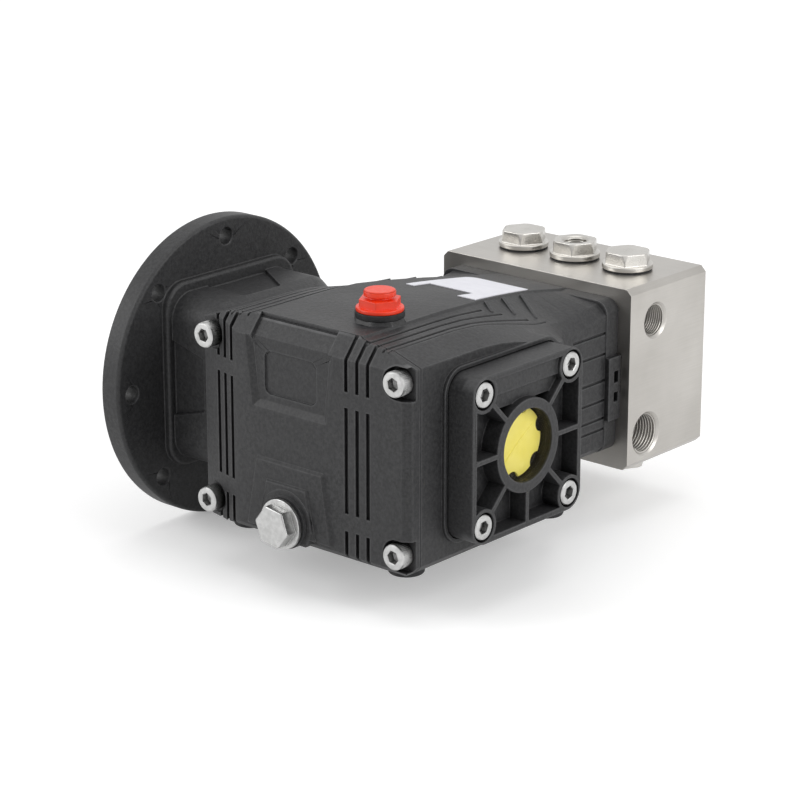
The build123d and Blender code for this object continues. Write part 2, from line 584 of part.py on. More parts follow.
with BuildPart() as rear_cover_gasket:
    with BuildSketch(across_y(CASE_REAR_Y)):
        Polygon(*case_points(CASE_REAR_Y, CASE_REAR_Y), align=None)
        with Locations((CHAMBER_X_MID, 0)):
            RectangleRounded(CHAMBER_W, 2 * CHAMBER_HALF_H, CHAMBER_CORNER_R, mode=Mode.SUBTRACT)
        with Locations(*REAR_SCREWS):
            Circle(M8_CLEAR_R, mode=Mode.SUBTRACT)
        with Locations((STYLE_X, CASE_TOP)):
            Rectangle(TOP_NOTCH_W, 4, mode=Mode.SUBTRACT)
    extrude(amount=GASKET_T)
save(rear_cover_gasket, "rear_cover_gasket")


def rim_edges(part, seat, height):
    """Edges of the part that lie at this height over the seat plane."""
    return [e for e in part.edges() if abs(seat.to_local_coords(e.center()).Z - height) < 0.01]


def socket_screws(part, seat, points, size, shank):
    """Adds socket head cap screws: seat is the plane under the heads, facing out of them."""
    thread_r, head_r, head_h, key = size
    with BuildSketch(seat) as heads:
        with Locations(*points):
            Circle(head_r)
    extrude(heads.sketch, amount=head_h)
    chamfer(rim_edges(part, seat, head_h), 0.7)
    with BuildSketch(seat.offset(head_h)) as keys:
        with Locations(*points):
            RegularPolygon(key / 2, 6, major_radius=False)
    extrude(keys.sketch, amount=-head_h / 2, mode=Mode.SUBTRACT)
    with BuildSketch(seat) as shanks:
        with Locations(*points):
            Circle(thread_r)
    extrude(shanks.sketch, amount=-shank)


with BuildPart() as rear_cover_screws:
    rear_shank = SCREW_SEAT_T + GASKET_T + REAR_THREAD_L - 1.5
    socket_screws(rear_cover_screws, across_y(SCREW_SEAT_Y), REAR_SCREWS, M8, rear_shank)
save(rear_cover_screws, "rear_cover_screws")

DRAIN_SEAT_Y = FACE_Y + BOSS_ROOT - DRAIN_BOSS_H
WASHER_T = 1.0
PLUG_FLANGE_R, PLUG_FLANGE_H = 12.8, 2.3
PLUG_HEX, PLUG_HEX_H = 19.0, 6.0
PLUG_HEX_TURN = -9.0
PLUG_CORNER_R = PLUG_HEX / 2 * 1.2     # cone that trims the hexagon's corners, at its foot
PLUG_HEX_Y = DRAIN_SEAT_Y - WASHER_T - PLUG_FLANGE_H
with BuildPart() as drain_washer:
    with BuildSketch(across_y(DRAIN_SEAT_Y)):
        with Locations(DRAIN_XZ):
            Circle(PLUG_FLANGE_R + 0.3)
            Circle(DRAIN_THREAD_R, mode=Mode.SUBTRACT)
    extrude(amount=WASHER_T)
save(drain_washer, "drain_washer")

with BuildPart() as drain_plug:
    with BuildSketch(across_y(PLUG_HEX_Y)):
        with Locations(DRAIN_XZ):
            RegularPolygon(PLUG_HEX / 2, 6, major_radius=False, rotation=PLUG_HEX_TURN)
    extrude(amount=PLUG_HEX_H)
    # rounds the corners off the hexagon's outer end
    with BuildSketch(across_y(PLUG_HEX_Y)):
        with Locations(DRAIN_XZ):
            Circle(PLUG_CORNER_R)
    extrude(amount=PLUG_HEX_H, taper=8, mode=Mode.INTERSECT)
    with BuildSketch(across_y(DRAIN_SEAT_Y - WASHER_T)):
        with Locations(DRAIN_XZ):
            Circle(PLUG_FLANGE_R)
    extrude(amount=PLUG_FLANGE_H)
    with BuildSketch(across_y(DRAIN_SEAT_Y - WASHER_T)):
        with Locations(DRAIN_XZ):
            Circle(DRAIN_THREAD_R)
    extrude(amount=-(WASHER_T + COVER_T + 2))
save(drain_plug, "drain_plug")

# ---------------------------------------------------------------- side cover and sight glass
RIM_W = 3.0
RIB_W = 2.6
BOSS_R = 9.3
GLASS_DEPTH = 8.0
WINDOW_R = 15.0
with BuildPart() as side_cover:
    with BuildSketch(across_x(CASE_X1)):
        RectangleRounded(SIDE_SIZE, SIDE_SIZE, SIDE_CORNER_R)
    extrude(amount=SIDE_T)
    # pockets: everything inside the rim that isn't ring, rib or screw boss
    with BuildSketch(across_x(CASE_X1 + SIDE_FLOOR_T)):
        RectangleRounded(SIDE_SIZE - 2 * RIM_W, SIDE_SIZE - 2 * RIM_W, SIDE_CORNER_R - RIM_W)
        Circle(GLASS_RING_R, mode=Mode.SUBTRACT)
        with Locations(*SIDE_POINTS):
            Circle(BOSS_R, mode=Mode.SUBTRACT)
        Rectangle(SIDE_SIZE, RIB_W, mode=Mode.SUBTRACT)
        with Locations((0, -SIDE_SIZE / 4)):
            Rectangle(RIB_W, SIDE_SIZE / 2, mode=Mode.SUBTRACT)
        for turn in (45, 135):
            Rectangle(2 * math.sqrt(2) * SIDE_SCREW, RIB_W, rotation=turn, mode=Mode.SUBTRACT)
    extrude(amount=SIDE_T - SIDE_FLOOR_T, mode=Mode.SUBTRACT)
    # the top pocket is filled to two steps
    for height, depth in ((17.0, 4.0), (9.0, 2.0)):
        with BuildSketch(across_x(CASE_X1 + SIDE_FLOOR_T)):
            with Locations((0, SIDE_SIZE / 2 - RIM_W - height / 2)):
                Trapezoid(2 * SIDE_SCREW - 10, height, 105, rotation=180)
            Circle(GLASS_RING_R, mode=Mode.SUBTRACT)
        extrude(amount=SIDE_T - SIDE_FLOOR_T - depth)
    # spigot with the tail bearing's seat, sight glass seat and window
    with BuildSketch(across_x(CHAMBER_X1)):
        Circle(SPIGOT_R - RUN_GAP)
    extrude(amount=CASE_X1 - CHAMBER_X1)
    with BuildSketch(across_x(CHAMBER_X1)):
        Circle(TAIL_BEARING[1])
    extrude(amount=TAIL_BEARING[2], mode=Mode.SUBTRACT)
    with BuildSketch(across_x(CHAMBER_X1)):
        Circle(WINDOW_R)
    extrude(amount=SIDE_FACE_X - CHAMBER_X1, mode=Mode.SUBTRACT)
    with BuildSketch(across_x(SIDE_FACE_X)):
        Circle(GLASS_R)
    extrude(amount=-GLASS_DEPTH, mode=Mode.SUBTRACT)
    # screw seats and holes
    with BuildSketch(across_x(SIDE_FACE_X)):
        with Locations(*SIDE_POINTS):
            Circle(M8_HEAD_R + 0.9)
    extrude(amount=-M8_HEAD_H, mode=Mode.SUBTRACT)
    with BuildSketch(across_x(SIDE_FACE_X)):
        with Locations(*SIDE_POINTS):
            Circle(M8_CLEAR_R)
    extrude(amount=-SIDE_T, mode=Mode.SUBTRACT)
save(side_cover, "side_cover")

with BuildPart() as side_cover_screws:
    side_shank = SIDE_T - M8_HEAD_H + SIDE_THREAD_L - 2.25
    socket_screws(side_cover_screws, across_x(SIDE_FACE_X - M8_HEAD_H), SIDE_POINTS, M8, side_shank)
save(side_cover_screws, "side_cover_screws")

LENS_SINK, LENS_T = 1.2, 3.4
with BuildPart() as sight_glass_lens:
    with BuildSketch(across_x(SIDE_FACE_X - LENS_SINK - LENS_T)):
        Circle(GLASS_R)
    extrude(amount=LENS_T)
    chamfer(sight_glass_lens.edges().group_by(Axis.X)[-1], 0.8)
save(sight_glass_lens, "sight_glass_lens")

PLATE_R = GLASS_R - 0.9
with BuildPart() as sight_glass_plate:
    with BuildSketch(across_x(SIDE_FACE_X - GLASS_DEPTH)):
        Circle(PLATE_R)
        with PolarLocations(PLATE_R + 1.6, 6, start_angle=18):
            Circle(4.6, mode=Mode.SUBTRACT)
    extrude(amount=1.4)
save(sight_glass_plate, "sight_glass_plate")

# ---------------------------------------------------------------- neck screws, seals, bearings
with BuildPart() as housing_screws:
    inside_neck = Plane(origin=(NECK_END - NECK_END_T, 0, 0), x_dir=(0, 1, 0), z_dir=(-1, 0, 0))
    housing_shank = NECK_END_T + HOUSING_THREAD_L - 2
    socket_screws(housing_screws, inside_neck, HOUSING_POINTS, M6, housing_shank)
save(housing_screws, "housing_screws")


def ring(plane, inner, outer, width, centres=((0, 0),)):
    """Adds plain rings to the current part."""
    with BuildSketch(plane) as rings:
        with Locations(*centres):
            Circle(outer)
            Circle(inner, mode=Mode.SUBTRACT)
    extrude(rings.sketch, amount=width)


with BuildPart() as shaft_seal:
    ring(across_x(NECK_END - SHAFT_SEAL_W - 1), DRIVE_BEARING[0] + RUN_GAP, SHAFT_SEAL_R, SHAFT_SEAL_W)
save(shaft_seal, "shaft_seal")

DRIVE_BEARING_X = CHAMBER_X0 - BEARING_SETBACK - DRIVE_BEARING[2]
ROLLER_COUNT = 14
ROLLER_INSET = 2.0        # rollers are this much shorter than the races at each end
for name, x, (inner, outer, width) in (("drive", DRIVE_BEARING_X, DRIVE_BEARING),
                                       ("tail", CHAMBER_X1, TAIL_BEARING)):
    with BuildPart() as outer_race:
        ring(across_x(x), outer - RACE_T, outer, width)
    save(outer_race, f"{name}_bearing_outer_race")
    with BuildPart() as inner_race:
        ring(across_x(x), inner, inner + RACE_T, width)
        # rollers held in the inner race
        with BuildSketch(across_x(x + ROLLER_INSET)):
            with PolarLocations((inner + outer) / 2, ROLLER_COUNT):
                Circle((outer - inner) / 2 - RACE_T - RUN_GAP)
            Circle((inner + outer) / 2 + 1.2)
            Circle(inner + 1, mode=Mode.SUBTRACT)
        extrude(amount=width - 2 * ROLLER_INSET)
    save(inner_race, f"{name}_bearing_inner_race")

# ---------------------------------------------------------------- crankshaft
JOURNAL_W = ROD_W + 1.0
JOURNALS = [(x, THROW * math.cos(a), THROW * math.sin(a)) for x, a in zip(PLUNGER_X, PHASE)]
WEB_R = THROW + PIN_R + 3.0
WEB_X0 = CHAMBER_X0 + 0.6
WEB_X1 = CHAMBER_X1 - 1.0
with BuildPart() as crankshaft:
    with BuildSketch(across_x(SHAFT_END_X)):
        Circle(DRIVE_BEARING[0])
    extrude(amount=WEB_X0 - SHAFT_END_X)
    edges = [WEB_X0]
    for x in PLUNGER_X:
        edges += [x - JOURNAL_W / 2, x + JOURNAL_W / 2]
    edges += [WEB_X1]
    for x0, x1 in zip(edges[0::2], edges[1::2]):
        with BuildSketch(across_x(x0)):
            Circle(WEB_R)
        extrude(amount=x1 - x0)
    for x, y, z in JOURNALS:
        with BuildSketch(across_x(x - JOURNAL_W / 2)):
            with Locations((y, z)):
                Circle(PIN_R)
        extrude(amount=JOURNAL_W)
    with BuildSketch(across_x(WEB_X1)):
        Circle(TAIL_BEARING[0])
    extrude(amount=CHAMBER_X1 + TAIL_BEARING[2] - WEB_X1 - END_GAP)
    # hollow drive end with its keyway
    with BuildSketch(across_x(SHAFT_END_X)):
        Circle(SHAFT_BORE_R)
        keyway_reach = SHAFT_BORE_R + KEYWAY_DEPTH
        with Locations((0, keyway_reach / 2)):
            Rectangle(KEYWAY_W, keyway_reach)
    extrude(amount=SHAFT_BORE_L, mode=Mode.SUBTRACT)
save(crankshaft, "crankshaft")

# ---------------------------------------------------------------- rods, crossheads, plungers
BIG_END_R = PIN_R + 6.0
BLADE = 8.0               # width and height of the rod between its ends
BLADE_START = 16.0
WRIST_R = 3.2
WRIST_L = CAVITY_W - 1.0
SMALL_END_W = CAVITY_W - 3.0
TENON_R, TENON_L = 5.0, 9.0
PLUNGER_L = FRONT_Y + PACKING_DEPTH + THROW - (ROD_LENGTH + CROSSHEAD_NOSE)
for number, (x, y, z) in enumerate(JOURNALS, 1):
    with BuildPart() as conrod:
        with BuildSketch(across_x(x - ROD_W / 2)):
            with Locations((y, z)):
                Circle(BIG_END_R)
        extrude(amount=ROD_W)
        with BuildSketch(across_x(x - SMALL_END_W / 2)):
            with Locations((y + ROD_LENGTH, z)):
                Circle(SMALL_END_R)
        extrude(amount=SMALL_END_W)
        with BuildSketch(across_x(x - BLADE / 2)):
            with Locations((y + (ROD_LENGTH + BLADE_START) / 2, z)):
                Rectangle(ROD_LENGTH - BLADE_START, BLADE)
        extrude(amount=BLADE)
        with BuildSketch(across_x(x - ROD_W / 2)):
            with Locations((y, z)):
                Circle(PIN_R + RUN_GAP)
            with Locations((y + ROD_LENGTH, z)):
                Circle(WRIST_R)
        extrude(amount=ROD_W, mode=Mode.SUBTRACT)
        split(bisect_by=Plane.XZ.offset(-y), keep=Keep.BOTH)
    save(conrod, f"conrod_{number}")

    with BuildPart() as wrist_pin:
        with BuildSketch(across_x(x - WRIST_L / 2)):
            with Locations((y + ROD_LENGTH, z)):
                Circle(WRIST_R)
        extrude(amount=WRIST_L)
    save(wrist_pin, f"wrist_pin_{number}")

    rear = ROD_LENGTH - CROSSHEAD_TAIL + y
    nose = ROD_LENGTH + CROSSHEAD_NOSE + y
    with BuildPart() as crosshead:
        with BuildSketch(across_y(rear)):
            with Locations((x, 0)):
                Circle(CROSSHEAD_R)
        extrude(amount=-(nose - rear))
        with BuildSketch(across_y(rear)):
            with Locations((x, 0)):
                Rectangle(CAVITY_W, 2 * CAVITY_HALF_H)
        extrude(amount=-(nose - HEAD_T - rear), mode=Mode.SUBTRACT)
        with BuildSketch(across_y(nose)):
            with Locations((x, 0)):
                Circle(TENON_R)
        extrude(amount=-TENON_L)
    save(crosshead, f"crosshead_{number}")

    with BuildPart() as plunger:
        with BuildSketch(across_y(nose)):
            with Locations((x, 0)):
                Circle(PLUNGER_R)
        extrude(amount=-PLUNGER_L)
        chamfer(plunger.edges().group_by(Axis.Y)[-1], 0.8)
        with BuildSketch(across_y(nose)):
            with Locations((x, 0)):
                Circle(TENON_R)
        extrude(amount=-TENON_L, mode=Mode.SUBTRACT)
    save(plunger, f"plunger_{number}")

# ---------------------------------------------------------------- seals around the plungers
LOW_PACKING_L, SPACER_L = 5.0, 6.0
SPACER_Y0 = FRONT_Y + LOW_PACKING_L
SPACER_Y1 = SPACER_Y0 + SPACER_L
for name, y0, y1 in (("oil_seals", SEAL_Y0, SEAL_Y1),
                     ("low_pressure_packings", FRONT_Y, SPACER_Y0),
                     ("packing_spacers", SPACER_Y0, SPACER_Y1),
                     ("high_pressure_packings", SPACER_Y1, FRONT_Y + PACKING_DEPTH)):
    with BuildPart() as seals:
        ring(across_y(y1), PLUNGER_R + RUN_GAP, PACKING_R, y1 - y0, PLUNGER_CENTRES)
    save(seals, name)

# ---------------------------------------------------------------- manifold
CENTRE_XY = [(x, VALVE_Y) for x in PLUNGER_X]
CAGE_WALL = 1.7
CAGE_INNER_R = VALVE_BORE_R - CAGE_WALL
POPPET_R = CAGE_INNER_R - 1.0
SEAT_HOLE_R = POPPET_R - 2.3
SEAT_H, CAGE_H, CAGE_TOP_T = 4.0, 12.0, 3.0
OUTLET_SEAT_Z = CHAMBER_R + 1.5
INLET_CAGE_Z = -(CHAMBER_R + 0.5)     # top of the inlet cages, under the pump chambers
INLET_SEAT_Z = INLET_CAGE_Z - CAGE_H - SEAT_H
GALLERY_R = 5.5
INLET_GALLERY_R = 7.0
PLUG_L = 12.0
with BuildPart() as manifold_block:
    with BuildSketch(across_y(FRONT_Y)):
        with Locations((X_MID, 0)):
            Rectangle(2 * BLOCK_HALF_W, BLOCK_HEIGHT)
    extrude(amount=-BLOCK_DEPTH)
    chamfer(manifold_block.edges().filter_by(Axis.Y), BLOCK_CHAMFER)
    # packing bores and pump chambers
    with BuildSketch(across_y(FRONT_Y)):
        with Locations(*PLUNGER_CENTRES):
            Circle(PACKING_R)
    extrude(amount=-PACKING_DEPTH, mode=Mode.SUBTRACT)
    with BuildSketch(across_y(FRONT_Y)):
        with Locations(*PLUNGER_CENTRES):
            Circle(CHAMBER_R)
    extrude(amount=-(CHAMBER_END - FRONT_Y), mode=Mode.SUBTRACT)
    # valve bores from above and below
    with BuildSketch(Plane.XY.offset(OUTLET_SEAT_Z)):
        with Locations(*CENTRE_XY):
            Circle(VALVE_BORE_R)
    extrude(amount=BLOCK_TOP - OUTLET_SEAT_Z, mode=Mode.SUBTRACT)
    with BuildSketch(Plane.XY.offset(INLET_CAGE_Z)):
        with Locations(*CENTRE_XY):
            Circle(SEAT_HOLE_R)
    extrude(amount=OUTLET_SEAT_Z - INLET_CAGE_Z, mode=Mode.SUBTRACT)
    with BuildSketch(Plane.XY.offset(-BLOCK_TOP)):
        with Locations(*CENTRE_XY):
            Circle(VALVE_BORE_R)
    extrude(amount=BLOCK_TOP + INLET_CAGE_Z, mode=Mode.SUBTRACT)
    # galleries through the block, tapped at both ends
    for y, z, gallery_r, port_r in ((OUTLET_Y, OUTLET_Z, GALLERY_R, OUTLET_PORT_R),
                                    (INLET_Y, INLET_Z, INLET_GALLERY_R, INLET_PORT_R)):
        for x, length, r in ((BLOCK_X0, 2 * BLOCK_HALF_W, gallery_r), (BLOCK_X0, PLUG_L, port_r),
                             (BLOCK_X1 - PORT_DEPTH, PORT_DEPTH, port_r)):
            with BuildSketch(across_x(x)):
                with Locations((y, z)):
                    Circle(r)
            extrude(amount=length, mode=Mode.SUBTRACT)
        with BuildSketch(across_x(BLOCK_X1)):
            with Locations((y, z)):
                Circle(port_r + PORT_CHAMFER)
        extrude(amount=-PORT_CHAMFER, taper=45, mode=Mode.SUBTRACT)
    # screw holes with sunk seats
    with BuildSketch(across_y(FRONT_Y)):
        with Locations(*MANIFOLD_SCREWS):
            Circle(M6_CLEAR_R)
    extrude(amount=-BLOCK_DEPTH, mode=Mode.SUBTRACT)
    with BuildSketch(across_y(BLOCK_Y1)):
        with Locations(*MANIFOLD_SCREWS):
            Circle(M6_HEAD_R + 0.5)
    extrude(amount=M6_HEAD_H, mode=Mode.SUBTRACT)
save(manifold_block, "manifold_block")

MANIFOLD_SEAT = Plane(origin=(0, BLOCK_Y1 - M6_HEAD_H, 0), x_dir=(-1, 0, 0), z_dir=(0, 1, 0))
with BuildPart() as manifold_screws:
    manifold_shank = BLOCK_DEPTH - M6_HEAD_H + MANIFOLD_THREAD_L - 4
    mirrored = [(-x, z) for x, z in MANIFOLD_SCREWS]
    socket_screws(manifold_screws, MANIFOLD_SEAT, mirrored, M6, manifold_shank)
save(manifold_screws, "manifold_screws")


def hex_cap(seat, points, shank_r, shank):
    """Adds hexagon caps with a round flange: seat is the plane under the flange, facing up."""
    with BuildSketch(seat.offset(CAP_FLANGE_H)) as hexes:
        with Locations(*points):
            RegularPolygon(CAP_HEX / 2, 6, major_radius=False)
    extrude(hexes.sketch, amount=CAP_HEX_H)
    with BuildSketch(seat.offset(CAP_FLANGE_H)) as cones:
        with Locations(*points):
            Circle(CAP_HEX / 2 * 1.17)
    extrude(cones.sketch, amount=CAP_HEX_H, taper=9, mode=Mode.INTERSECT)
    with BuildSketch(seat) as flanges:
        with Locations(*points):
            Circle(CAP_FLANGE_R)
    extrude(flanges.sketch, amount=CAP_FLANGE_H)
    with BuildSketch(seat) as shanks:
        with Locations(*points):
            Circle(shank_r)
    extrude(shanks.sketch, amount=-shank)


SEAL_H = 1.0
SEAL_R = CAP_FLANGE_R - 0.5
CAP_THREAD_L = 8.0
TOP_SEAT = Plane.XY.offset(BLOCK_TOP + SEAL_H)
BOTTOM_SEAT = Plane(origin=(0, 0, -BLOCK_TOP - SEAL_H), x_dir=(1, 0, 0), z_dir=(0, 0, -1))
NOSE_R = VALVE_BORE_R - 3.0
NOSE_L = BLOCK_TOP + SEAL_H - (OUTLET_SEAT_Z + SEAT_H + CAGE_H)
with BuildPart() as outlet_valve_caps:
    hex_cap(TOP_SEAT, [CENTRE_XY[0], CENTRE_XY[2]], VALVE_BORE_R, CAP_THREAD_L)
    with BuildSketch(TOP_SEAT):
        with Locations(CENTRE_XY[0], CENTRE_XY[2]):
            Circle(NOSE_R)
    extrude(amount=-NOSE_L)
save(outlet_valve_caps, "outlet_valve_caps")

with BuildPart() as gauge_port_cap:
    hex_cap(TOP_SEAT, [CENTRE_XY[1]], VALVE_BORE_R, CAP_THREAD_L)
    with BuildSketch(TOP_SEAT):
        with Locations(CENTRE_XY[1]):
            Circle(NOSE_R)
    extrude(amount=-NOSE_L)
    cap_top = TOP_SEAT.offset(CAP_FLANGE_H + CAP_HEX_H)
    with BuildSketch(cap_top):
        with Locations(CENTRE_XY[1]):
            Circle(GAUGE_PORT_R)
    extrude(amount=-GAUGE_PORT_DEPTH, mode=Mode.SUBTRACT)
    with BuildSketch(cap_top):
        with Locations(CENTRE_XY[1]):
            Circle(GAUGE_PORT_R + GAUGE_CHAMFER)
    extrude(amount=-GAUGE_CHAMFER, taper=45, mode=Mode.SUBTRACT)
    with BuildSketch(cap_top):
        with Locations(CENTRE_XY[1]):
            Circle(GAUGE_BORE_R)
    extrude(amount=-(CAP_FLANGE_H + CAP_HEX_H + NOSE_L), mode=Mode.SUBTRACT)
save(gauge_port_cap, "gauge_port_cap")

FEED_R = VALVE_BORE_R - 2.5
FEED_SLOT = 12.0
with BuildPart() as inlet_valve_caps:
    hex_cap(BOTTOM_SEAT, [(x, -y) for x, y in CENTRE_XY], VALVE_BORE_R,
            BLOCK_TOP + SEAL_H + INLET_SEAT_Z)
    with BuildSketch(Plane.XY.offset(INLET_SEAT_Z)):
        with Locations(*CENTRE_XY):
            Circle(FEED_R)
    extrude(amount=-(INLET_SEAT_Z - INLET_Z + INLET_GALLERY_R), mode=Mode.SUBTRACT)
    with BuildSketch(Plane.XY.offset(INLET_SEAT_Z - 1)):
        with Locations(*[(x, VALVE_Y - FEED_R) for x in PLUNGER_X]):
            Rectangle(FEED_SLOT, FEED_SLOT)
    extrude(amount=-(FEED_SLOT + 1), mode=Mode.SUBTRACT)
save(inlet_valve_caps, "inlet_valve_caps")

with BuildPart() as valve_cap_seals:
    for z in (BLOCK_TOP, -BLOCK_TOP - SEAL_H):
        ring(Plane.XY.offset(z), VALVE_BORE_R, SEAL_R, SEAL_H, CENTRE_XY)
save(valve_cap_seals, "valve_cap_seals")

with BuildPart() as valve_seats:
    for z in (OUTLET_SEAT_Z, INLET_SEAT_Z):
        ring(Plane.XY.offset(z), SEAT_HOLE_R, VALVE_BORE_R, SEAT_H, CENTRE_XY)
save(valve_seats, "valve_seats")

CAGE_HOLE_R = 3.5
WINDOW_W = 7.0
WINDOW_RISE = 2.0         # bottom of the cage windows, over the seat
with BuildPart() as valve_cages:
    for z in (OUTLET_SEAT_Z + SEAT_H, INLET_SEAT_Z + SEAT_H):
        ring(Plane.XY.offset(z), CAGE_INNER_R, VALVE_BORE_R, CAGE_H, CENTRE_XY)
        ring(Plane.XY.offset(z + CAGE_H - CAGE_TOP_T), CAGE_HOLE_R, CAGE_INNER_R, CAGE_TOP_T, CENTRE_XY)
        with BuildSketch(Plane.XY.offset(z + WINDOW_RISE)):
            with Locations(*CENTRE_XY):
                Rectangle(WINDOW_W, 3 * VALVE_BORE_R)
                Rectangle(3 * VALVE_BORE_R, WINDOW_W)
                Circle(CAGE_INNER_R - 0.1, mode=Mode.SUBTRACT)
        extrude(amount=CAGE_H - CAGE_TOP_T - WINDOW_RISE - 1, mode=Mode.SUBTRACT)
save(valve_cages, "valve_cages")

POPPET_T = 2.5
PIP_R, PIP_H = 3.2, 1.5   # locates the spring
SPRING_R, WIRE_R, SPRING_TURNS = 5.0, 0.5, 3.5
for kind, seat_z in (("outlet", OUTLET_SEAT_Z), ("inlet", INLET_SEAT_Z)):
    for number, (x, y) in enumerate(CENTRE_XY, 1):
        poppet_z = seat_z + SEAT_H
        with BuildPart() as poppet:
            with BuildSketch(Plane.XY.offset(poppet_z)):
                with Locations((x, y)):
                    Circle(POPPET_R)
            extrude(amount=POPPET_T)
            with BuildSketch(Plane.XY.offset(poppet_z + POPPET_T)):
                with Locations((x, y)):
                    Circle(PIP_R)
            extrude(amount=PIP_H)
        save(poppet, f"{kind}_valve_{number}")

        spring_z0 = poppet_z + POPPET_T + WIRE_R
        spring_h = CAGE_H - CAGE_TOP_T - POPPET_T - 2 * WIRE_R
        with BuildPart() as spring:
            with BuildLine(Plane(origin=(x, y, spring_z0))) as coil:
                Helix(pitch=spring_h / SPRING_TURNS, height=spring_h, radius=SPRING_R)
            with BuildSketch(Plane(origin=coil.edges()[0] @ 0, z_dir=coil.edges()[0] % 0)):
                Circle(WIRE_R)
            sweep(path=coil.edges()[0], is_frenet=True)
        save(spring, f"{kind}_spring_{number}")

with BuildPart() as gallery_plugs:
    for y, z, r in ((OUTLET_Y, OUTLET_Z, OUTLET_PORT_R), (INLET_Y, INLET_Z, INLET_PORT_R)):
        with BuildSketch(across_x(BLOCK_X0)):
            with Locations((y, z)):
                Circle(r)
        extrude(amount=PLUG_L)
        with BuildSketch(across_x(BLOCK_X0)):
            with Locations((y, z)):
                RegularPolygon(r / 2, 6, major_radius=False)
        extrude(amount=PLUG_L / 2, mode=Mode.SUBTRACT)
save(gallery_plugs, "gallery_plugs")

# ---------------------------------------------------------------- oil filler, label and feet
RING_H = 3.0
CAP_Z = FILLER_SEAT_Z + RING_H
RIM_R, RIM_H = 11.75, 2.0
FILLER_HEX, FILLER_HEX_H = 18.6, 4.2
CROWN_NECK_R, CROWN_NECK_H = 6.2, 1.2
CROWN_R, CROWN_H = 7.9, 3.0
with BuildPart() as filler_ring:
    ring(Plane.XY.offset(FILLER_SEAT_Z), FILLER_HOLE_R, RIM_R + 0.5, RING_H, [FILLER_XY])
save(filler_ring, "filler_ring")

with BuildPart() as oil_filler_cap:
    with BuildSketch(Plane.XY.offset(CAP_Z + RIM_H)):
        with Locations(FILLER_XY):
            RegularPolygon(FILLER_HEX / 2, 6, major_radius=False)
    extrude(amount=FILLER_HEX_H)
    with BuildSketch(Plane.XY.offset(CAP_Z + RIM_H + FILLER_HEX_H)):
        with Locations(FILLER_XY):
            Circle(CROWN_NECK_R)
    extrude(amount=CROWN_NECK_H)
    with BuildSketch(Plane.XY.offset(CAP_Z)):
        with Locations(FILLER_XY):
            Circle(RIM_R)
    extrude(amount=RIM_H)
    with BuildSketch(Plane.XY.offset(CAP_Z + RIM_H + FILLER_HEX_H + CROWN_NECK_H)):
        with Locations(FILLER_XY):
            Circle(CROWN_R)
    extrude(amount=CROWN_H)
    chamfer(oil_filler_cap.edges().group_by(Axis.Z)[-1], 0.6)
    with BuildSketch(Plane.XY.offset(CAP_Z)):
        with Locations(FILLER_XY):
            Circle(FILLER_HOLE_R - 0.5)
    extrude(amount=-12)
save(oil_filler_cap, "oil_filler_cap")

LABEL_T = 0.4
LABEL_BACK = (84.0, 32.0)         # rear and front end, behind the manifold joint
LABEL_LEFT_DX = -17.0
LABEL_MARGIN = 1.5                # inside the edge of the flat top
LABEL_NOTCH = (-12.0, 17.0, 12.5)     # from dx, to dx, length
LABEL_CORNER_R = 6.0
LABEL_Y0, LABEL_Y1 = FRONT_Y - LABEL_BACK[0], FRONT_Y - LABEL_BACK[1]
LABEL_STATIONS = [LABEL_Y0] + [y for y in STATIONS if LABEL_Y0 < y < LABEL_Y1] + [LABEL_Y1]


def between_stations(y, index):
    """One value of the outline at y, straight between the stations on both sides of it."""
    for y0, y1 in zip(STATIONS, STATIONS[1:]):
        if y0 <= y <= y1:
            v0, v1 = case_section(y0)[index], case_section(y1)[index]
            return v0 + (v1 - v0) * (y - y0) / (y1 - y0)


with BuildPart() as label_plate:
    with BuildSketch(across_x(X_MID + LABEL_LEFT_DX)):
        lower = [(y, between_stations(y, 1)) for y in LABEL_STATIONS]
        Polygon(*lower, *[(y, z + LABEL_T) for y, z in reversed(lower)], align=None)
    extrude(amount=PANEL_HALF_W - LABEL_LEFT_DX)
    # outline in plan: the right edge follows the flat top, and the rear end is notched
    with BuildSketch(Plane.XY.offset(FRONT_BOTTOM)) as label_plan:
        left = X_MID + LABEL_LEFT_DX
        notch_left, notch_right = X_MID + LABEL_NOTCH[0], X_MID + LABEL_NOTCH[1]
        notch_y = LABEL_Y0 + LABEL_NOTCH[2]
        right = [(X_MID + between_stations(y, 0) - LABEL_MARGIN, y) for y in (LABEL_Y0, LABEL_Y1)]
        Polygon((left, LABEL_Y0), (notch_left, LABEL_Y0), (notch_left, notch_y), (notch_right, notch_y),
                (notch_right, LABEL_Y0), *right, (left, LABEL_Y1), align=None)
        fillet(label_plan.vertices().sort_by(Axis.Y)[-2:].sort_by(Axis.X)[0], LABEL_CORNER_R)
    extrude(amount=CASE_TOP - FRONT_BOTTOM + LABEL_T, mode=Mode.INTERSECT)
save(label_plate, "label_plate")

with BuildPart() as rubber_feet:
    with BuildSketch(Plane.XY.offset(CASE_BOTTOM)):
        with Locations(*[(X_MID + s * (CASE_HALF_W - FOOT_INSET), y) for s in (-1, 1) for y in FOOT_Y]):
            Circle(FOOT_R)
    extrude(amount=-FOOT_H)
    fillet(rubber_feet.edges().group_by(Axis.Z)[0], 1.2)
save(rubber_feet, "rubber_feet")
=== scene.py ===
# %% [markdown]
# # A triplex plunger pump, finished in Blender
# The construction comes from CAD as a fixed frame: every piece is already at its real size and place.
# Blender adds what CAD leaves out, which is the finish of each surface and the small shapes that catch
# the light: cast edges, screw knurls, port threads, the lens. Everything is in metres, in the CAD's frame.

import bmesh
import bpy
import json
import math
from mathutils import Matrix, Vector


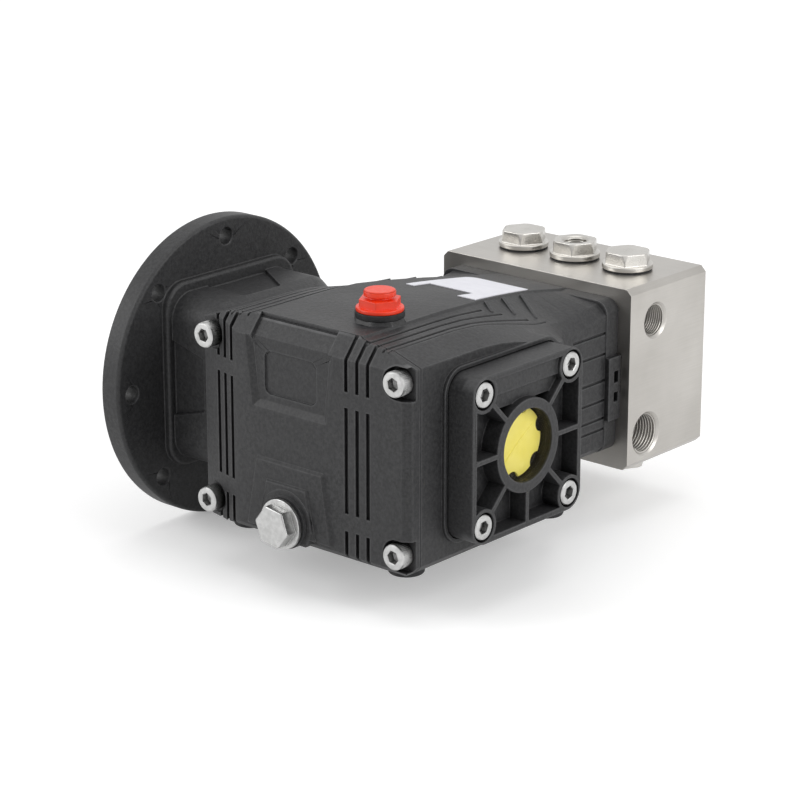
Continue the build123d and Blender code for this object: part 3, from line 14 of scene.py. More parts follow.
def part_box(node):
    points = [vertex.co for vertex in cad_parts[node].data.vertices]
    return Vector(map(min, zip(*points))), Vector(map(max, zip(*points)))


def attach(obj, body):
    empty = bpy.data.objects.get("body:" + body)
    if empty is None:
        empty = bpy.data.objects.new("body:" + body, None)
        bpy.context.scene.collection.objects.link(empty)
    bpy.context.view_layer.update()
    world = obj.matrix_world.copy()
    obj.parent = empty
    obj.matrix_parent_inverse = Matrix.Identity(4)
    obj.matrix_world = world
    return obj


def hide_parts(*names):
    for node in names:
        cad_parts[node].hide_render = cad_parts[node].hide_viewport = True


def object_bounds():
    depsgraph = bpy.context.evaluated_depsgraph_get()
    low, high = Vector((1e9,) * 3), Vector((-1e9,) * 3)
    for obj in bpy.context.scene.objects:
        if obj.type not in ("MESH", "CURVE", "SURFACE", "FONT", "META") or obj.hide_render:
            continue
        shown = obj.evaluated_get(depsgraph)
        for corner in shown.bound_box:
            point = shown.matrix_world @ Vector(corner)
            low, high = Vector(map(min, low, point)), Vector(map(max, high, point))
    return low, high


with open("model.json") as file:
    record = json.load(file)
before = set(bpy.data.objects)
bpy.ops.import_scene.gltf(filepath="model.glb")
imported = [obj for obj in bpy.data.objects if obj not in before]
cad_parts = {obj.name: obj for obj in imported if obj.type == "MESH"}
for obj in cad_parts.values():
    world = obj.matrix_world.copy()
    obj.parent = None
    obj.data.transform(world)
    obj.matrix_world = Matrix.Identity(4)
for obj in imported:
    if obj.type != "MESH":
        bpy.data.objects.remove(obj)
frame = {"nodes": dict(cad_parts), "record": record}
MM = 0.001
scene = bpy.context.scene
cad_low, cad_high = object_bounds()
print("CAD box in mm:", [round((b - a) / MM, 1) for a, b in zip(cad_low, cad_high)])

# %% [markdown]
# ## Camera
# A product shot is taken from well back with a long lens, so that parallel edges stay nearly parallel.
# The camera sits behind and to the right of the pump, a little above it. BACK points from the pump to the
# camera, and two cross products give the other axes. A matrix of the three needs no tracking constraint.

# %% Place the camera
LENS_MM = 126.33
SENSOR_MM = 36.0
CAMERA_AT = Vector((1.01196, -1.00861, 0.43434))
BACK = Vector((0.6260, -0.7176, 0.3050)).normalized()
right = Vector((0, 0, 1)).cross(BACK).normalized()
up = BACK.cross(right)
camera_data = bpy.data.cameras.new("camera")
camera_data.lens = LENS_MM
camera_data.sensor_width = SENSOR_MM
camera = bpy.data.objects.new("camera", camera_data)
camera.matrix_world = Matrix((
    (right.x, up.x, BACK.x, CAMERA_AT.x),
    (right.y, up.y, BACK.y, CAMERA_AT.y),
    (right.z, up.z, BACK.z, CAMERA_AT.z),
    (0, 0, 0, 1)))
scene.collection.objects.link(camera)
scene.camera = camera
print("camera is", round((camera.location - (cad_low + cad_high) / 2).length, 2), "m away")

# %% [markdown]
# ## Room
# Black castings and bright steel want the same light: large soft lamps and a white room. The world is
# white to the camera and in reflections, but lights the scene at a lower strength, so that dark paint
# stays dark. The light path node tells the two kinds of ray apart.

# %% World
ROOM_LIGHT = 0.55
scene.view_settings.view_transform = "Standard"


def add_node(tree, kind, **settings):
    """Adds a shader node of this kind and sets its properties."""
    made = tree.nodes.new("ShaderNode" + kind)
    for key, value in settings.items():
        setattr(made, key, value)
    return made


def seen_directly(tree):
    """1 on camera, glossy and transmission rays, else 0."""
    path = add_node(tree, "LightPath")
    seen = path.outputs["Is Camera Ray"]
    for ray in ("Is Glossy Ray", "Is Transmission Ray"):
        either = add_node(tree, "Math", operation="MAXIMUM")
        tree.links.new(seen, either.inputs[0])
        tree.links.new(path.outputs[ray], either.inputs[1])
        seen = either.outputs[0]
    return seen


world = bpy.data.worlds.new("studio")
scene.world = world
world.use_nodes = True
tree = world.node_tree
tree.nodes.clear()
mix = add_node(tree, "MixShader")
tree.links.new(seen_directly(tree), mix.inputs[0])
for number, strength in ((1, ROOM_LIGHT), (2, 1.0)):
    white = add_node(tree, "Background")
    white.inputs["Color"].default_value = (1, 1, 1, 1)
    white.inputs["Strength"].default_value = strength
    tree.links.new(white.outputs[0], mix.inputs[number])
tree.links.new(mix.outputs[0], add_node(tree, "OutputWorld").inputs[0])
print("the room lights at", ROOM_LIGHT, "and is seen at 1")

# %% [markdown]
# ## Floor
# The floor is a pale diffuse plane that keeps the pump's shadow. Where the camera sees it, it glows a
# little, and more far from the pump, so that it runs into the white room without an edge.

# %% Floor
FLOOR_REACH = 6.0
FLOOR_GREY = 0.86
NEAR, NEAR_GLOW = 0.4, 0.30
FAR, FAR_GLOW = 2.0, 0.6
floor_mesh = bpy.data.meshes.new("floor")
floor_mesh.from_pydata([(FLOOR_REACH * x, FLOOR_REACH * y, cad_low.z)
                        for x, y in ((-1, -1), (1, -1), (1, 1), (-1, 1))], [], [(0, 1, 2, 3)])
floor = bpy.data.objects.new("floor", floor_mesh)
scene.collection.objects.link(floor)
floor_paint = bpy.data.materials.new("floor_paint")
floor_paint.use_nodes = True
tree = floor_paint.node_tree
tree.nodes.clear()
diffuse = add_node(tree, "BsdfDiffuse")
diffuse.inputs["Color"].default_value = (FLOOR_GREY, FLOOR_GREY, FLOOR_GREY, 1)
place = add_node(tree, "TexCoord")
distance = add_node(tree, "VectorMath", operation="LENGTH")
growth = add_node(tree, "MapRange")
for socket, number in (("From Min", NEAR), ("From Max", FAR), ("To Min", NEAR_GLOW), ("To Max", FAR_GLOW)):
    growth.inputs[socket].default_value = number
lift = add_node(tree, "Math", operation="MULTIPLY")
glow = add_node(tree, "Emission")
both = add_node(tree, "AddShader")
for source, target in ((place.outputs["Object"], distance.inputs[0]),
                       (distance.outputs["Value"], growth.inputs["Value"]),
                       (seen_directly(tree), lift.inputs[0]),
                       (growth.outputs["Result"], lift.inputs[1]),
                       (lift.outputs[0], glow.inputs["Strength"]),
                       (diffuse.outputs[0], both.inputs[0]),
                       (glow.outputs[0], both.inputs[1]),
                       (both.outputs[0], add_node(tree, "OutputMaterial").inputs[0])):
    tree.links.new(source, target)
floor_mesh.materials.append(floor_paint)
print("the floor lies at z", round(cad_low.z / MM, 2), "mm")

# %% [markdown]
# ## Lamps
# Three large square area lamps give soft shadows and long calm reflections. The one above is the weakest,
# so that flat tops don't outshine the sides.


# %% Lamps
def soft_lamp(name, where, size, watts):
    """Square area lamp at a place in metres, turned to the middle of the pump."""
    lamp = bpy.data.lights.new(name, "AREA")
    lamp.shape = "SQUARE"
    lamp.size = size
    lamp.energy = watts
    obj = bpy.data.objects.new(name, lamp)
    obj.location = where
    aim = (cad_low + cad_high) / 2 - Vector(where)
    obj.rotation_euler = aim.to_track_quat("-Z", "Y").to_euler()
    scene.collection.objects.link(obj)


for name, where, size, watts in (("lamp_above", (0.1, 0.1, 1.3), 1.2, 4.7),
                                 ("lamp_left", (-0.9, -1.0, 0.7), 0.8, 8.6),
                                 ("lamp_right", (1.3, 0.2, 0.6), 0.8, 7.3)):
    soft_lamp(name, where, size, watts)
    print(name, watts, "W")

# %% [markdown]
# ## Building materials from nodes
# A shader tree is easier to read when its parts have short names. `Paint` wraps one material: it makes
# the Principled shader and a few pattern nodes on Object coordinates, which are the pump's own metres,
# so a noise scale of 1000 gives grain of about a millimetre on every piece alike. Depths are in mm.


# %% A small helper for node materials
NOISE_MIDDLE = (0.3, 0.7)     # most values of a noise lie between these


class Paint:
    """One Principled material, with pattern nodes made by short calls."""

    def __init__(self, name, **sockets):
        self.material = bpy.data.materials.new(name)
        self.material.use_nodes = True
        self.tree = self.material.node_tree
        self.shader = self.tree.nodes["Principled BSDF"]
        self.coords = self.node("TexCoord")
        for socket, value in sockets.items():
            self.shader.inputs[socket.replace("_", " ")].default_value = value

    def node(self, kind, **settings):
        return add_node(self.tree, kind, **settings)

    def link(self, source, target):
        self.tree.links.new(source, target)

    def stretched(self, scale):
        """Object coordinates scaled per axis, which stretches a pattern along the small ones."""
        mapping = self.node("Mapping")
        mapping.inputs["Scale"].default_value = scale
        self.link(self.coords.outputs["Object"], mapping.inputs["Vector"])
        return mapping.outputs["Vector"]

    def noise(self, scale, detail=4.0, roughness=0.5, vector=None):
        made = self.node("TexNoise")
        made.inputs["Scale"].default_value = scale
        made.inputs["Detail"].default_value = detail
        made.inputs["Roughness"].default_value = roughness
        self.link(vector or self.coords.outputs["Object"], made.inputs["Vector"])
        return made.outputs["Fac"]

    def spread(self, value, low, high, to_low=0.0, to_high=1.0):
        """Maps low..high of a value to a new range, clamped."""
        made = self.node("MapRange")
        for socket, number in zip(("From Min", "From Max", "To Min", "To Max"), (low, high, to_low, to_high)):
            made.inputs[socket].default_value = number
        self.link(value, made.inputs["Value"])
        return made.outputs["Result"]

    def clouds(self, scale, detail, to_low=0.0, to_high=1.0):
        """Noise of this scale whose middle values fill the new range."""
        return self.spread(self.noise(scale, detail), *NOISE_MIDDLE, to_low, to_high)

    def blend(self, share, first, second):
        """Colour between two colours, by a 0..1 share. Each is a colour or a socket."""
        made = self.node("Mix", data_type="RGBA")
        self.link(share, made.inputs["Factor"])
        for socket, colour in ((made.inputs[6], first), (made.inputs[7], second)):
            if isinstance(colour, tuple):
                socket.default_value = (*colour, 1)
            else:
                self.link(colour, socket)
        return made.outputs[2]

    def sum(self, first, second, share=1.0):
        """first + share * second."""
        made = self.node("Math", operation="MULTIPLY_ADD")
        self.link(second, made.inputs[0])
        made.inputs[1].default_value = share
        self.link(first, made.inputs[2])
        return made.outputs[0]

    def edges(self, reach_mm):
        """1 on outer edges, fading to 0 within reach: short rays inside the solid leave it there."""
        made = self.node("AmbientOcclusion", samples=4, inside=True, only_local=True)
        made.inputs["Distance"].default_value = reach_mm * MM
        return self.spread(made.outputs["AO"], 0.45, 0.95, 1.0, 0.0)

    # Painted shade: the mask below darkens colour in corners and pockets, where shade falls.
    def painted_shade_in_hollows(self, reach_mm):
        """1 deep inside corners and pockets, 0 on open faces: the mask for painted shade there."""
        made = self.node("AmbientOcclusion", samples=4, inside=False, only_local=False)
        made.inputs["Distance"].default_value = reach_mm * MM
        return self.spread(made.outputs["AO"], 0.25, 0.75, 0.85, 0.0)

    def colour(self, socket):
        self.link(socket, self.shader.inputs["Base Color"])

    def roughness(self, socket):
        self.link(socket, self.shader.inputs["Roughness"])

    def bump(self, height, depth_mm, strength):
        made = self.node("Bump")
        made.inputs["Strength"].default_value = strength
        made.inputs["Distance"].default_value = depth_mm * MM
        self.link(height, made.inputs["Height"])
        self.link(made.outputs["Normal"], self.shader.inputs["Normal"])


print("Paint is ready")

# %% [markdown]
# ## Black castings
# The flange, crankcase and covers are aluminium castings with a thin black coat. The mould leaves a fine
# grain, handling rubs the outer edges a little paler, and the coat varies softly over large areas. Three
# noises of different size do this: a broad one for tone and gloss, and two fine ones as bump. Corners and
# pockets are darkened nearly to black with painted shade.

# %% Cast black
def cast_black():
    p = Paint("cast_black", Metallic=0.0, Specular_IOR_Level=0.34)
    cloud = p.noise(22, detail=5)
    tone = p.blend(p.spread(cloud, *NOISE_MIDDLE), (0.013, 0.013, 0.0138), (0.021, 0.021, 0.022))
    speck = p.spread(p.noise(620, detail=4, roughness=0.65), 0.36, 0.66)
    skin = p.blend(speck, tone, (0.036, 0.036, 0.0372))
    worn = p.spread(p.noise(120, detail=3), 0.3, 0.75, 0.3, 0.9)
    rub = p.node("Math", operation="MULTIPLY")
    p.link(p.edges(1.1), rub.inputs[0])
    p.link(worn, rub.inputs[1])
    coat = p.blend(rub.outputs[0], skin, (0.12, 0.12, 0.123))
    # Painted shade: corners and pockets are darkened nearly to black, as shade.
    p.colour(p.blend(p.painted_shade_in_hollows(7.0), coat, (0.0035, 0.0035, 0.0038)))
    p.roughness(p.spread(cloud, 0.25, 0.75, 0.44, 0.58))
    grain = p.sum(p.noise(420, detail=3), p.noise(1500, detail=2), 0.45)
    p.bump(grain, 0.3, 0.6)
    return p.material


# %% [markdown]
# ## Steel
# Four steels are in sight or inside. The manifold is milled and brushed, so its grain runs in one direction
# on each face. Caps and rings are turned, and their grain runs round their own axis, which a `turned`
# attribute on the mesh gives. Screws are zinc plated, with faint blotches; their sockets and the pockets
# round their heads are darkened with painted shade. The shaft and the bearings are ground, which leaves a
# duller grain that runs round them.

# %% Brushed, turned and plated steel
def brushed_steel():
    p = Paint("brushed_steel", Metallic=1.0)
    along_x = p.noise(1.0, detail=6, roughness=0.65, vector=p.stretched((26, 1500, 1500)))
    along_y = p.noise(1.0, detail=6, roughness=0.65, vector=p.stretched((1500, 26, 1500)))
    facing = p.node("NewGeometry")
    apart = p.node("SeparateXYZ")
    p.link(facing.outputs["Normal"], apart.inputs[0])
    size = p.node("Math", operation="ABSOLUTE")
    p.link(apart.outputs["X"], size.inputs[0])
    chosen = p.node("Mix", data_type="FLOAT")
    p.link(p.spread(size.outputs[0], 0.4, 0.6), chosen.inputs["Factor"])
    p.link(along_x, chosen.inputs[2])
    p.link(along_y, chosen.inputs[3])
    grain = chosen.outputs[0]
    cloud = p.noise(30, detail=4)
    tone = p.blend(p.spread(cloud, *NOISE_MIDDLE), (0.43, 0.413, 0.388), (0.51, 0.493, 0.466))
    p.colour(p.blend(p.spread(grain, 0.35, 0.65, 0.0, 0.14), tone, (0.33, 0.305, 0.275)))
    p.roughness(p.spread(p.sum(cloud, grain, 0.8), 0.6, 1.2, 0.30, 0.42))
    p.bump(grain, 0.015, 0.6)
    return p.material


def turned_steel():
    p = Paint("turned_steel", Metallic=1.0)
    local = p.node("Attribute", attribute_name="turned")
    apart = p.node("SeparateXYZ")
    p.link(local.outputs["Vector"], apart.inputs[0])
    across = p.node("CombineXYZ")
    p.link(apart.outputs["X"], across.inputs["X"])
    p.link(apart.outputs["Y"], across.inputs["Y"])
    radius = p.node("VectorMath", operation="LENGTH")
    p.link(across.outputs[0], radius.inputs[0])
    rings = p.node("CombineXYZ")
    p.link(radius.outputs["Value"], rings.inputs["X"])
    p.link(apart.outputs["Z"], rings.inputs["Z"])
    grain = p.noise(4200, detail=3, vector=rings.outputs[0])
    cloud = p.noise(90, detail=3)
    tone = p.blend(p.spread(cloud, *NOISE_MIDDLE), (0.50, 0.485, 0.455), (0.60, 0.585, 0.555))
    p.colour(p.blend(p.spread(grain, 0.35, 0.7, 0.0, 0.3), tone, (0.36, 0.345, 0.32)))
    p.roughness(p.spread(grain, *NOISE_MIDDLE, 0.24, 0.38))
    p.bump(grain, 0.02, 0.5)
    return p.material


def plated_steel():
    p = Paint("plated_steel", Metallic=1.0)
    blotch = p.noise(350, detail=4)
    plating = p.blend(p.spread(blotch, 0.35, 0.65), (0.44, 0.44, 0.435), (0.53, 0.53, 0.525))
    # Painted shade: sockets and the hollows round each head are darkened nearly to black.
    p.colour(p.blend(p.painted_shade_in_hollows(4.5), plating, (0.012, 0.012, 0.012)))
    p.roughness(p.clouds(900, 3, 0.26, 0.42))
    p.bump(p.noise(2600, detail=2), 0.02, 0.5)
    return p.material


def ground_steel():
    p = Paint("ground_steel", Metallic=1.0)
    grain = p.noise(1.0, detail=5, vector=p.stretched((2500, 60, 60)))
    p.colour(p.blend(p.spread(grain, 0.35, 0.65), (0.30, 0.30, 0.31), (0.40, 0.40, 0.41)))
    p.roughness(p.spread(grain, *NOISE_MIDDLE, 0.36, 0.50))
    p.bump(grain, 0.01, 0.4)
    return p.material


# %% [markdown]
# ## Plastics, rubber, glass and the pieces inside
# The oil cap is a glossy moulded red. The disc behind the sight glass is yellow with a painted glow: a small
# emission lifts it as if more light reached it in its pocket. The lens is modelled as a clear film over what
# is behind it: a transparent shader carries its smoky tint, and a share of gloss that grows where the lens is
# seen at a slant gives its reflections without hiding the disc from the lamps. Glass that bends light would
# keep the lamps out of such a shallow pocket.

# %% Plastics, lens, rubber and the metals inside
def moulded(name, first, second, gloss, orange_peel_mm, **sockets):
    p = Paint(name, Metallic=0.0, Specular_IOR_Level=0.5, **sockets)
    p.colour(p.blend(p.clouds(140, 4), first, second))
    p.roughness(p.clouds(500, 3, gloss, gloss + 0.12))
    p.bump(p.noise(700, detail=3), orange_peel_mm, 0.4)
    return p.material


def lens_film():
    p = Paint("lens_film", Metallic=0.0, Roughness=0.05, IOR=1.49)
    clear = p.node("BsdfTransparent")
    tint = p.blend(p.clouds(120, 3), (0.95, 0.93, 0.90), (0.98, 0.965, 0.94))
    p.link(tint, clear.inputs["Color"])
    p.shader.inputs["Base Color"].default_value = (0.10, 0.085, 0.07, 1)
    slant = p.node("LayerWeight")
    both = p.node("MixShader")
    p.link(p.spread(slant.outputs["Facing"], 0.45, 1.0, 0.03, 0.7), both.inputs[0])
    p.link(clear.outputs[0], both.inputs[1])
    p.link(p.shader.outputs[0], both.inputs[2])
    p.link(both.outputs[0], p.tree.nodes["Material Output"].inputs["Surface"])
    return p.material


def soft_rubber():
    p = Paint("soft_rubber", Metallic=0.0, Specular_IOR_Level=0.35)
    dust = p.spread(p.noise(260, detail=5), 0.45, 0.8)
    p.colour(p.blend(dust, (0.012, 0.012, 0.013), (0.03, 0.03, 0.031)))
    p.roughness(p.clouds(900, 2, 0.55, 0.78))
    p.bump(p.noise(1800, detail=2), 0.08, 0.5)
    return p.material


def cast_metal(name, first, second, metallic, gloss):
    p = Paint(name, Metallic=metallic)
    p.colour(p.blend(p.clouds(180, 5), first, second))
    p.roughness(p.clouds(700, 3, gloss, gloss + 0.2))
    p.bump(p.noise(1100, detail=3), 0.05, 0.5)
    return p.material


# %% One finish for each material slot
paints = {
    "case_black": cast_black(),
    "seal_black": soft_rubber(),
    "screw_steel": plated_steel(),
    "bearing_steel": ground_steel(),
    "block_steel": brushed_steel(),
    "cap_steel": turned_steel(),
    "rod_brass": cast_metal("cast_bronze", (0.50, 0.36, 0.14), (0.66, 0.50, 0.24), 1.0, 0.28),
    "cast_alloy": cast_metal("machined_alloy", (0.50, 0.50, 0.51), (0.62, 0.62, 0.63), 1.0, 0.3),
    "ceramic_white": cast_metal("polished_ceramic", (0.78, 0.76, 0.71), (0.84, 0.83, 0.79), 0.0, 0.08),
    "lens_clear": lens_film(),
    # Painted light: the yellow disc's emission is a glow that stands in for light its pocket keeps out.
    "plate_yellow": moulded("yellow_with_painted_glow", (0.90, 0.84, 0.16), (0.95, 0.90, 0.24), 0.35, 0.04,
                            Emission_Color=(0.9, 0.8, 0.2, 1), Emission_Strength=0.16),
    "cap_red": moulded("moulded_red", (0.78, 0.030, 0.003), (0.84, 0.040, 0.004), 0.30, 0.02),
    "label_white": moulded("label_film", (0.72, 0.72, 0.77), (0.77, 0.77, 0.82), 0.45, 0.01),
}
slot_of = {part["node"]: part["material_slot"] for part in frame["record"]["subparts"]}
for node, obj in frame["nodes"].items():
    obj.data.materials.clear()
    obj.data.materials.append(paints[slot_of[node]])
print(len(paints), "finishes on", len(frame["nodes"]), "nodes")

# %% [markdown]
# ## Castings with rounded edges
# CAD gives the castings crisp edges, but a mould never does. Each casting is shown by a copy of its own
# mesh: doubled points are merged, coplanar triangles joined, and a bevel rounds every edge sharper than
# the facets of a curve. Normals weighted by face size keep the flat faces flat beside the narrow bevels.
# The copy replaces the CAD node, which is hidden but stays in the model.

# %% Show a copy, and round its edges
DOUBLES = 0.002 * MM
FLAT_WITHIN = math.radians(0.4)
SHARPER_THAN = math.radians(28)
body_of_node = {n: body for body, members in frame["record"]["behaviour"]["bodies"].items() for n in members}


def show(name, mesh, node, replaced=()):
    """Adds a finished mesh that rides with its node's body and takes its slot."""
    obj = bpy.data.objects.new(name, mesh)
    scene.collection.objects.link(obj)
    mesh.materials.clear()
    mesh.materials.append(paints[slot_of[node]])
    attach(obj, body_of_node[node])
    for replaced_node in replaced:
        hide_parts(replaced_node)
    return obj


def merged_mesh(node, name):
    """The node's own shape, doubles merged, flat regions joined and cut again into even triangles."""
    work = bmesh.new()
    work.from_mesh(frame["nodes"][node].data)
    bmesh.ops.remove_doubles(work, verts=work.verts, dist=DOUBLES)
    bmesh.ops.dissolve_limit(work, angle_limit=FLAT_WITHIN, verts=work.verts, edges=work.edges)
    bmesh.ops.triangulate(work, faces=work.faces, quad_method="BEAUTY", ngon_method="BEAUTY")
    mesh = bpy.data.meshes.new(name)
    work.to_mesh(mesh)
    work.free()
    return mesh


def rounded(node, name, radius, segments=3):
    """Shows the node as a copy whose edges are rounded to about this radius."""
    mesh = merged_mesh(node, name)
    obj = show(name, mesh, node, replaced=[node])
    mesh.shade_smooth()
    bevel = obj.modifiers.new("rounding", "BEVEL")
    bevel.width = radius
    bevel.segments = segments
    bevel.limit_method = "ANGLE"
    bevel.angle_limit = SHARPER_THAN
    bevel.use_clamp_overlap = False
    bevel.miter_outer = "MITER_ARC"
    flat = obj.modifiers.new("flat faces", "WEIGHTED_NORMAL")
    flat.mode = "FACE_AREA"
    flat.weight = 100
    print(name, len(mesh.polygons), "faces before rounding")
    return obj


# %% Rounded copies of the castings
for node, name, radius in (("motor_flange_housing", "cast_flange", 0.7 * MM),
                           ("crankcase", "cast_crankcase", 0.35 * MM),
                           ("rear_cover", "cast_rear_cover", 0.35 * MM),
                           ("side_cover", "cast_side_cover", 0.5 * MM)):
    rounded(node, name, radius)

# %% [markdown]
# ## Machined block
# The manifold is milled from one steel bar. A mill leaves edges that only a file has broken, so its bevel
# is smaller than the castings', with fewer steps.

# %% Machined block, with small broken edges
rounded("manifold_block", "milled_block", 0.25 * MM, segments=2)

# %% [markdown]
# ## Turned pieces
# Caps, plugs, rings and feet come off a lathe or out of a round mould. Their copies get the same small
# bevel, and a `turned` attribute: each point's place measured from its own piece's axis. The steel's grain
# is a noise of radius and height only, so it runs in rings round every cap, however many share a node.


# %% Find the separate pieces of a node
def islands(mesh):
    """Lists of point numbers, one for each connected piece of a mesh."""
    leader = list(range(len(mesh.vertices)))

    def lead(i):
        while leader[i] != i:
            leader[i] = leader[leader[i]]
            i = leader[i]
        return i

    for edge in mesh.edges:
        leader[lead(edge.vertices[0])] = lead(edge.vertices[1])
    groups = {}
    for i in range(len(leader)):
        groups.setdefault(lead(i), []).append(i)
    return list(groups.values())


def corners(mesh, members):
    """Lowest and highest corner of some of a mesh's points."""
    points = [mesh.vertices[i].co for i in members]
    return (Vector([min(p[k] for p in points) for k in range(3)]),
            Vector([max(p[k] for p in points) for k in range(3)]))


def add_turned(mesh):
    """Stores each point's place from the axis of its own piece, for grain that runs in rings."""
    attribute = mesh.attributes.new("turned", "FLOAT_VECTOR", "POINT")
    for members in islands(mesh):
        low, high = corners(mesh, members)
        middle = (low + high) / 2
        for i in members:
            attribute.data[i].vector = mesh.vertices[i].co - middle


# %% Caps, plugs, rings and feet
for node, name, radius in (("outlet_valve_caps", "turned_outlet_caps", 0.4 * MM),
                           ("inlet_valve_caps", "turned_inlet_caps", 0.4 * MM),
                           ("gauge_port_cap", "turned_gauge_cap", 0.3 * MM),
                           ("drain_plug", "hexagon_drain_plug", 0.4 * MM),
                           ("oil_filler_cap", "moulded_filler_cap", 0.45 * MM),
                           ("filler_ring", "moulded_filler_ring", 0.4 * MM),
                           ("rubber_feet", "moulded_feet", 0.6 * MM)):
    add_turned(rounded(node, name, radius, segments=2).data)

# %% [markdown]
# ## Geometry Nodes for what repeats
# Twenty socket screws share one shape, and three ports share one thread. Each is drawn by a geometry tree
# that takes its sizes as named inputs. `GeometryTree` shortens the calls, and `grow` runs a tree on a set
# of points and returns the result as a plain mesh.


# %% A small helper for geometry trees
class GeometryTree:
    """A geometry node tree, made by short calls."""

    def __init__(self, name, **inputs):
        self.group = bpy.data.node_groups.new(name, "GeometryNodeTree")
        self.group.interface.new_socket("Places", in_out="INPUT", socket_type="NodeSocketGeometry")
        self.names = {}
        for label, kind in inputs.items():
            socket = self.group.interface.new_socket(label.replace("_", " "), in_out="INPUT",
                                                     socket_type="NodeSocket" + kind)
            self.names[label] = socket.identifier
        self.group.interface.new_socket("Shape", in_out="OUTPUT", socket_type="NodeSocketGeometry")
        self.source = self.group.nodes.new("NodeGroupInput")

    def given(self, label):
        return self.source.outputs[label.replace("_", " ")]

    def node(self, kind, inputs=(), **settings):
        """Adds a node; inputs are (socket name or number, value or output) pairs."""
        made = self.group.nodes.new(kind)
        for key, value in settings.items():
            setattr(made, key, value)
        for socket, value in inputs:
            if isinstance(value, bpy.types.NodeSocket):
                self.group.links.new(value, made.inputs[socket])
            else:
                made.inputs[socket].default_value = value
        return made

    def math(self, operation, first, second):
        return self.node("ShaderNodeMath", ((0, first), (1, second)), operation=operation).outputs[0]

    def vector(self, x=0.0, y=0.0, z=0.0):
        return self.node("ShaderNodeCombineXYZ", (("X", x), ("Y", y), ("Z", z))).outputs[0]

    def repeat(self, shape):
        """Puts the shape on every place, facing and spun as given, and ends the tree."""
        facing = self.node("FunctionNodeEulerToRotation", (("Euler", self.given("Facing")),)).outputs[0]
        copies = self.node("GeometryNodeInstanceOnPoints", (
            ("Points", self.given("Places")), ("Instance", shape), ("Rotation", facing))).outputs[0]
        spin = self.node("FunctionNodeRandomValue", (
            (2, 0.0), (3, math.tau), ("Seed", self.given("Seed"))), data_type="FLOAT").outputs[1]
        turn = self.node("FunctionNodeEulerToRotation", (("Euler", self.vector(z=spin)),)).outputs[0]
        spun = self.node("GeometryNodeRotateInstances", (
            ("Instances", copies), ("Rotation", turn), ("Local Space", True))).outputs[0]
        real = self.node("GeometryNodeRealizeInstances", (("Geometry", spun),)).outputs[0]
        painted = self.node("GeometryNodeSetMaterial", (
            ("Geometry", real), ("Material", self.given("Finish")))).outputs[0]
        sink = self.group.nodes.new("NodeGroupOutput")
        self.group.links.new(painted, sink.inputs[0])


def grow(tree, name, places, **values):
    """Runs a tree on points at these places and returns a plain mesh."""
    points = bpy.data.meshes.new(name + "_places")
    points.from_pydata([tuple(p) for p in places], [], [])
    host = bpy.data.objects.new(name + "_host", points)
    scene.collection.objects.link(host)
    modifier = host.modifiers.new("grow", "NODES")
    modifier.node_group = tree.group
    for label, value in values.items():
        modifier[tree.names[label]] = value
    bpy.context.view_layer.update()
    mesh = bpy.data.meshes.new_from_object(host.evaluated_get(bpy.context.evaluated_depsgraph_get()))
    host.modifiers.remove(modifier)
    bpy.data.objects.remove(host)
    mesh.name = name
    return mesh


# %% [markdown]
# ## Socket head screws
# A cap screw is a turned blank: a head with a broken upper edge, a hexagonal socket and a shank. Its side
# is knurled by a roller, so it is covered with fine upright ridges. The blank is spun in code from a list
# of rings, where a ring may be a circle or a hexagon. The tree stands the ridges round the head and puts
# the whole screw in its places, each turned by a different angle, as tightening leaves them.

# %% Spin the plain screw
STEPS = 48
SOFT = 0.6 * MM           # how far the head's and the shank's edges are broken
SOCKET_LEAD = 0.35 * MM   # chamfer at the mouth of the socket
SOCKET_WALL = 0.5         # share of the head's height where the socket's wall ends
SOCKET_TIP = 0.42         # and where the drill's point ends


def hexagon(angle, flat):
    """Distance from the middle of a hexagon to its side at an angle, for a half width across flats."""
    return flat / math.cos((angle + math.pi / 6) % (math.pi / 3) - math.pi / 6)


def spun(name, rings):
    """Closed mesh through (height, radius, is hexagonal) rings, with a point at each end."""
    points = [(0.0, 0.0, rings[0][0])]
    for height, radius, six_sided in rings:
        for k in range(STEPS):
            angle = math.tau * k / STEPS
            r = hexagon(angle, radius) if six_sided else radius
            points.append((r * math.cos(angle), r * math.sin(angle), height))
    points.append((0.0, 0.0, rings[-1][0]))
    faces = [(0, 1 + (k + 1) % STEPS, 1 + k) for k in range(STEPS)]
    for ring in range(len(rings) - 1):
        base = 1 + ring * STEPS
        for k in range(STEPS):
            after = (k + 1) % STEPS
            faces.append((base + k, base + after, base + STEPS + after, base + STEPS + k))
    last = 1 + (len(rings) - 1) * STEPS
    faces += [(last + k, last + (k + 1) % STEPS, len(points) - 1) for k in range(STEPS)]
    mesh = bpy.data.meshes.new(name)
    mesh.from_pydata(points, [], faces)
    mesh.shade_smooth()
    mesh.set_sharp_from_angle(angle=SHARPER_THAN)
    return mesh


def plain_screw(head_r, head_h, key, shank_r, shank_l):
    """A cap screw with its origin under the head and its head towards +Z."""
    rings = [(-shank_l, shank_r - SOFT, False), (-shank_l + SOFT, shank_r, False), (0.0, shank_r, False),
             (0.0, head_r - SOFT / 2, False), (SOFT / 2, head_r - SOFT / 4, False),
             (head_h - 1.1 * SOFT, head_r - SOFT / 4, False), (head_h - 0.25 * SOFT, head_r - SOFT, False),
             (head_h, head_r - 1.7 * SOFT, False), (head_h, key / 2 + SOCKET_LEAD, True),
             (head_h - SOCKET_LEAD, key / 2, True), (head_h * SOCKET_WALL, key / 2, True),
             (head_h * SOCKET_TIP, key / 5, False)]
    mesh = spun("plain_screw", rings)
    template = bpy.data.objects.new("plain_screw", mesh)
    scene.collection.objects.link(template)
    return template


print("a screw is spun from", STEPS, "steps")

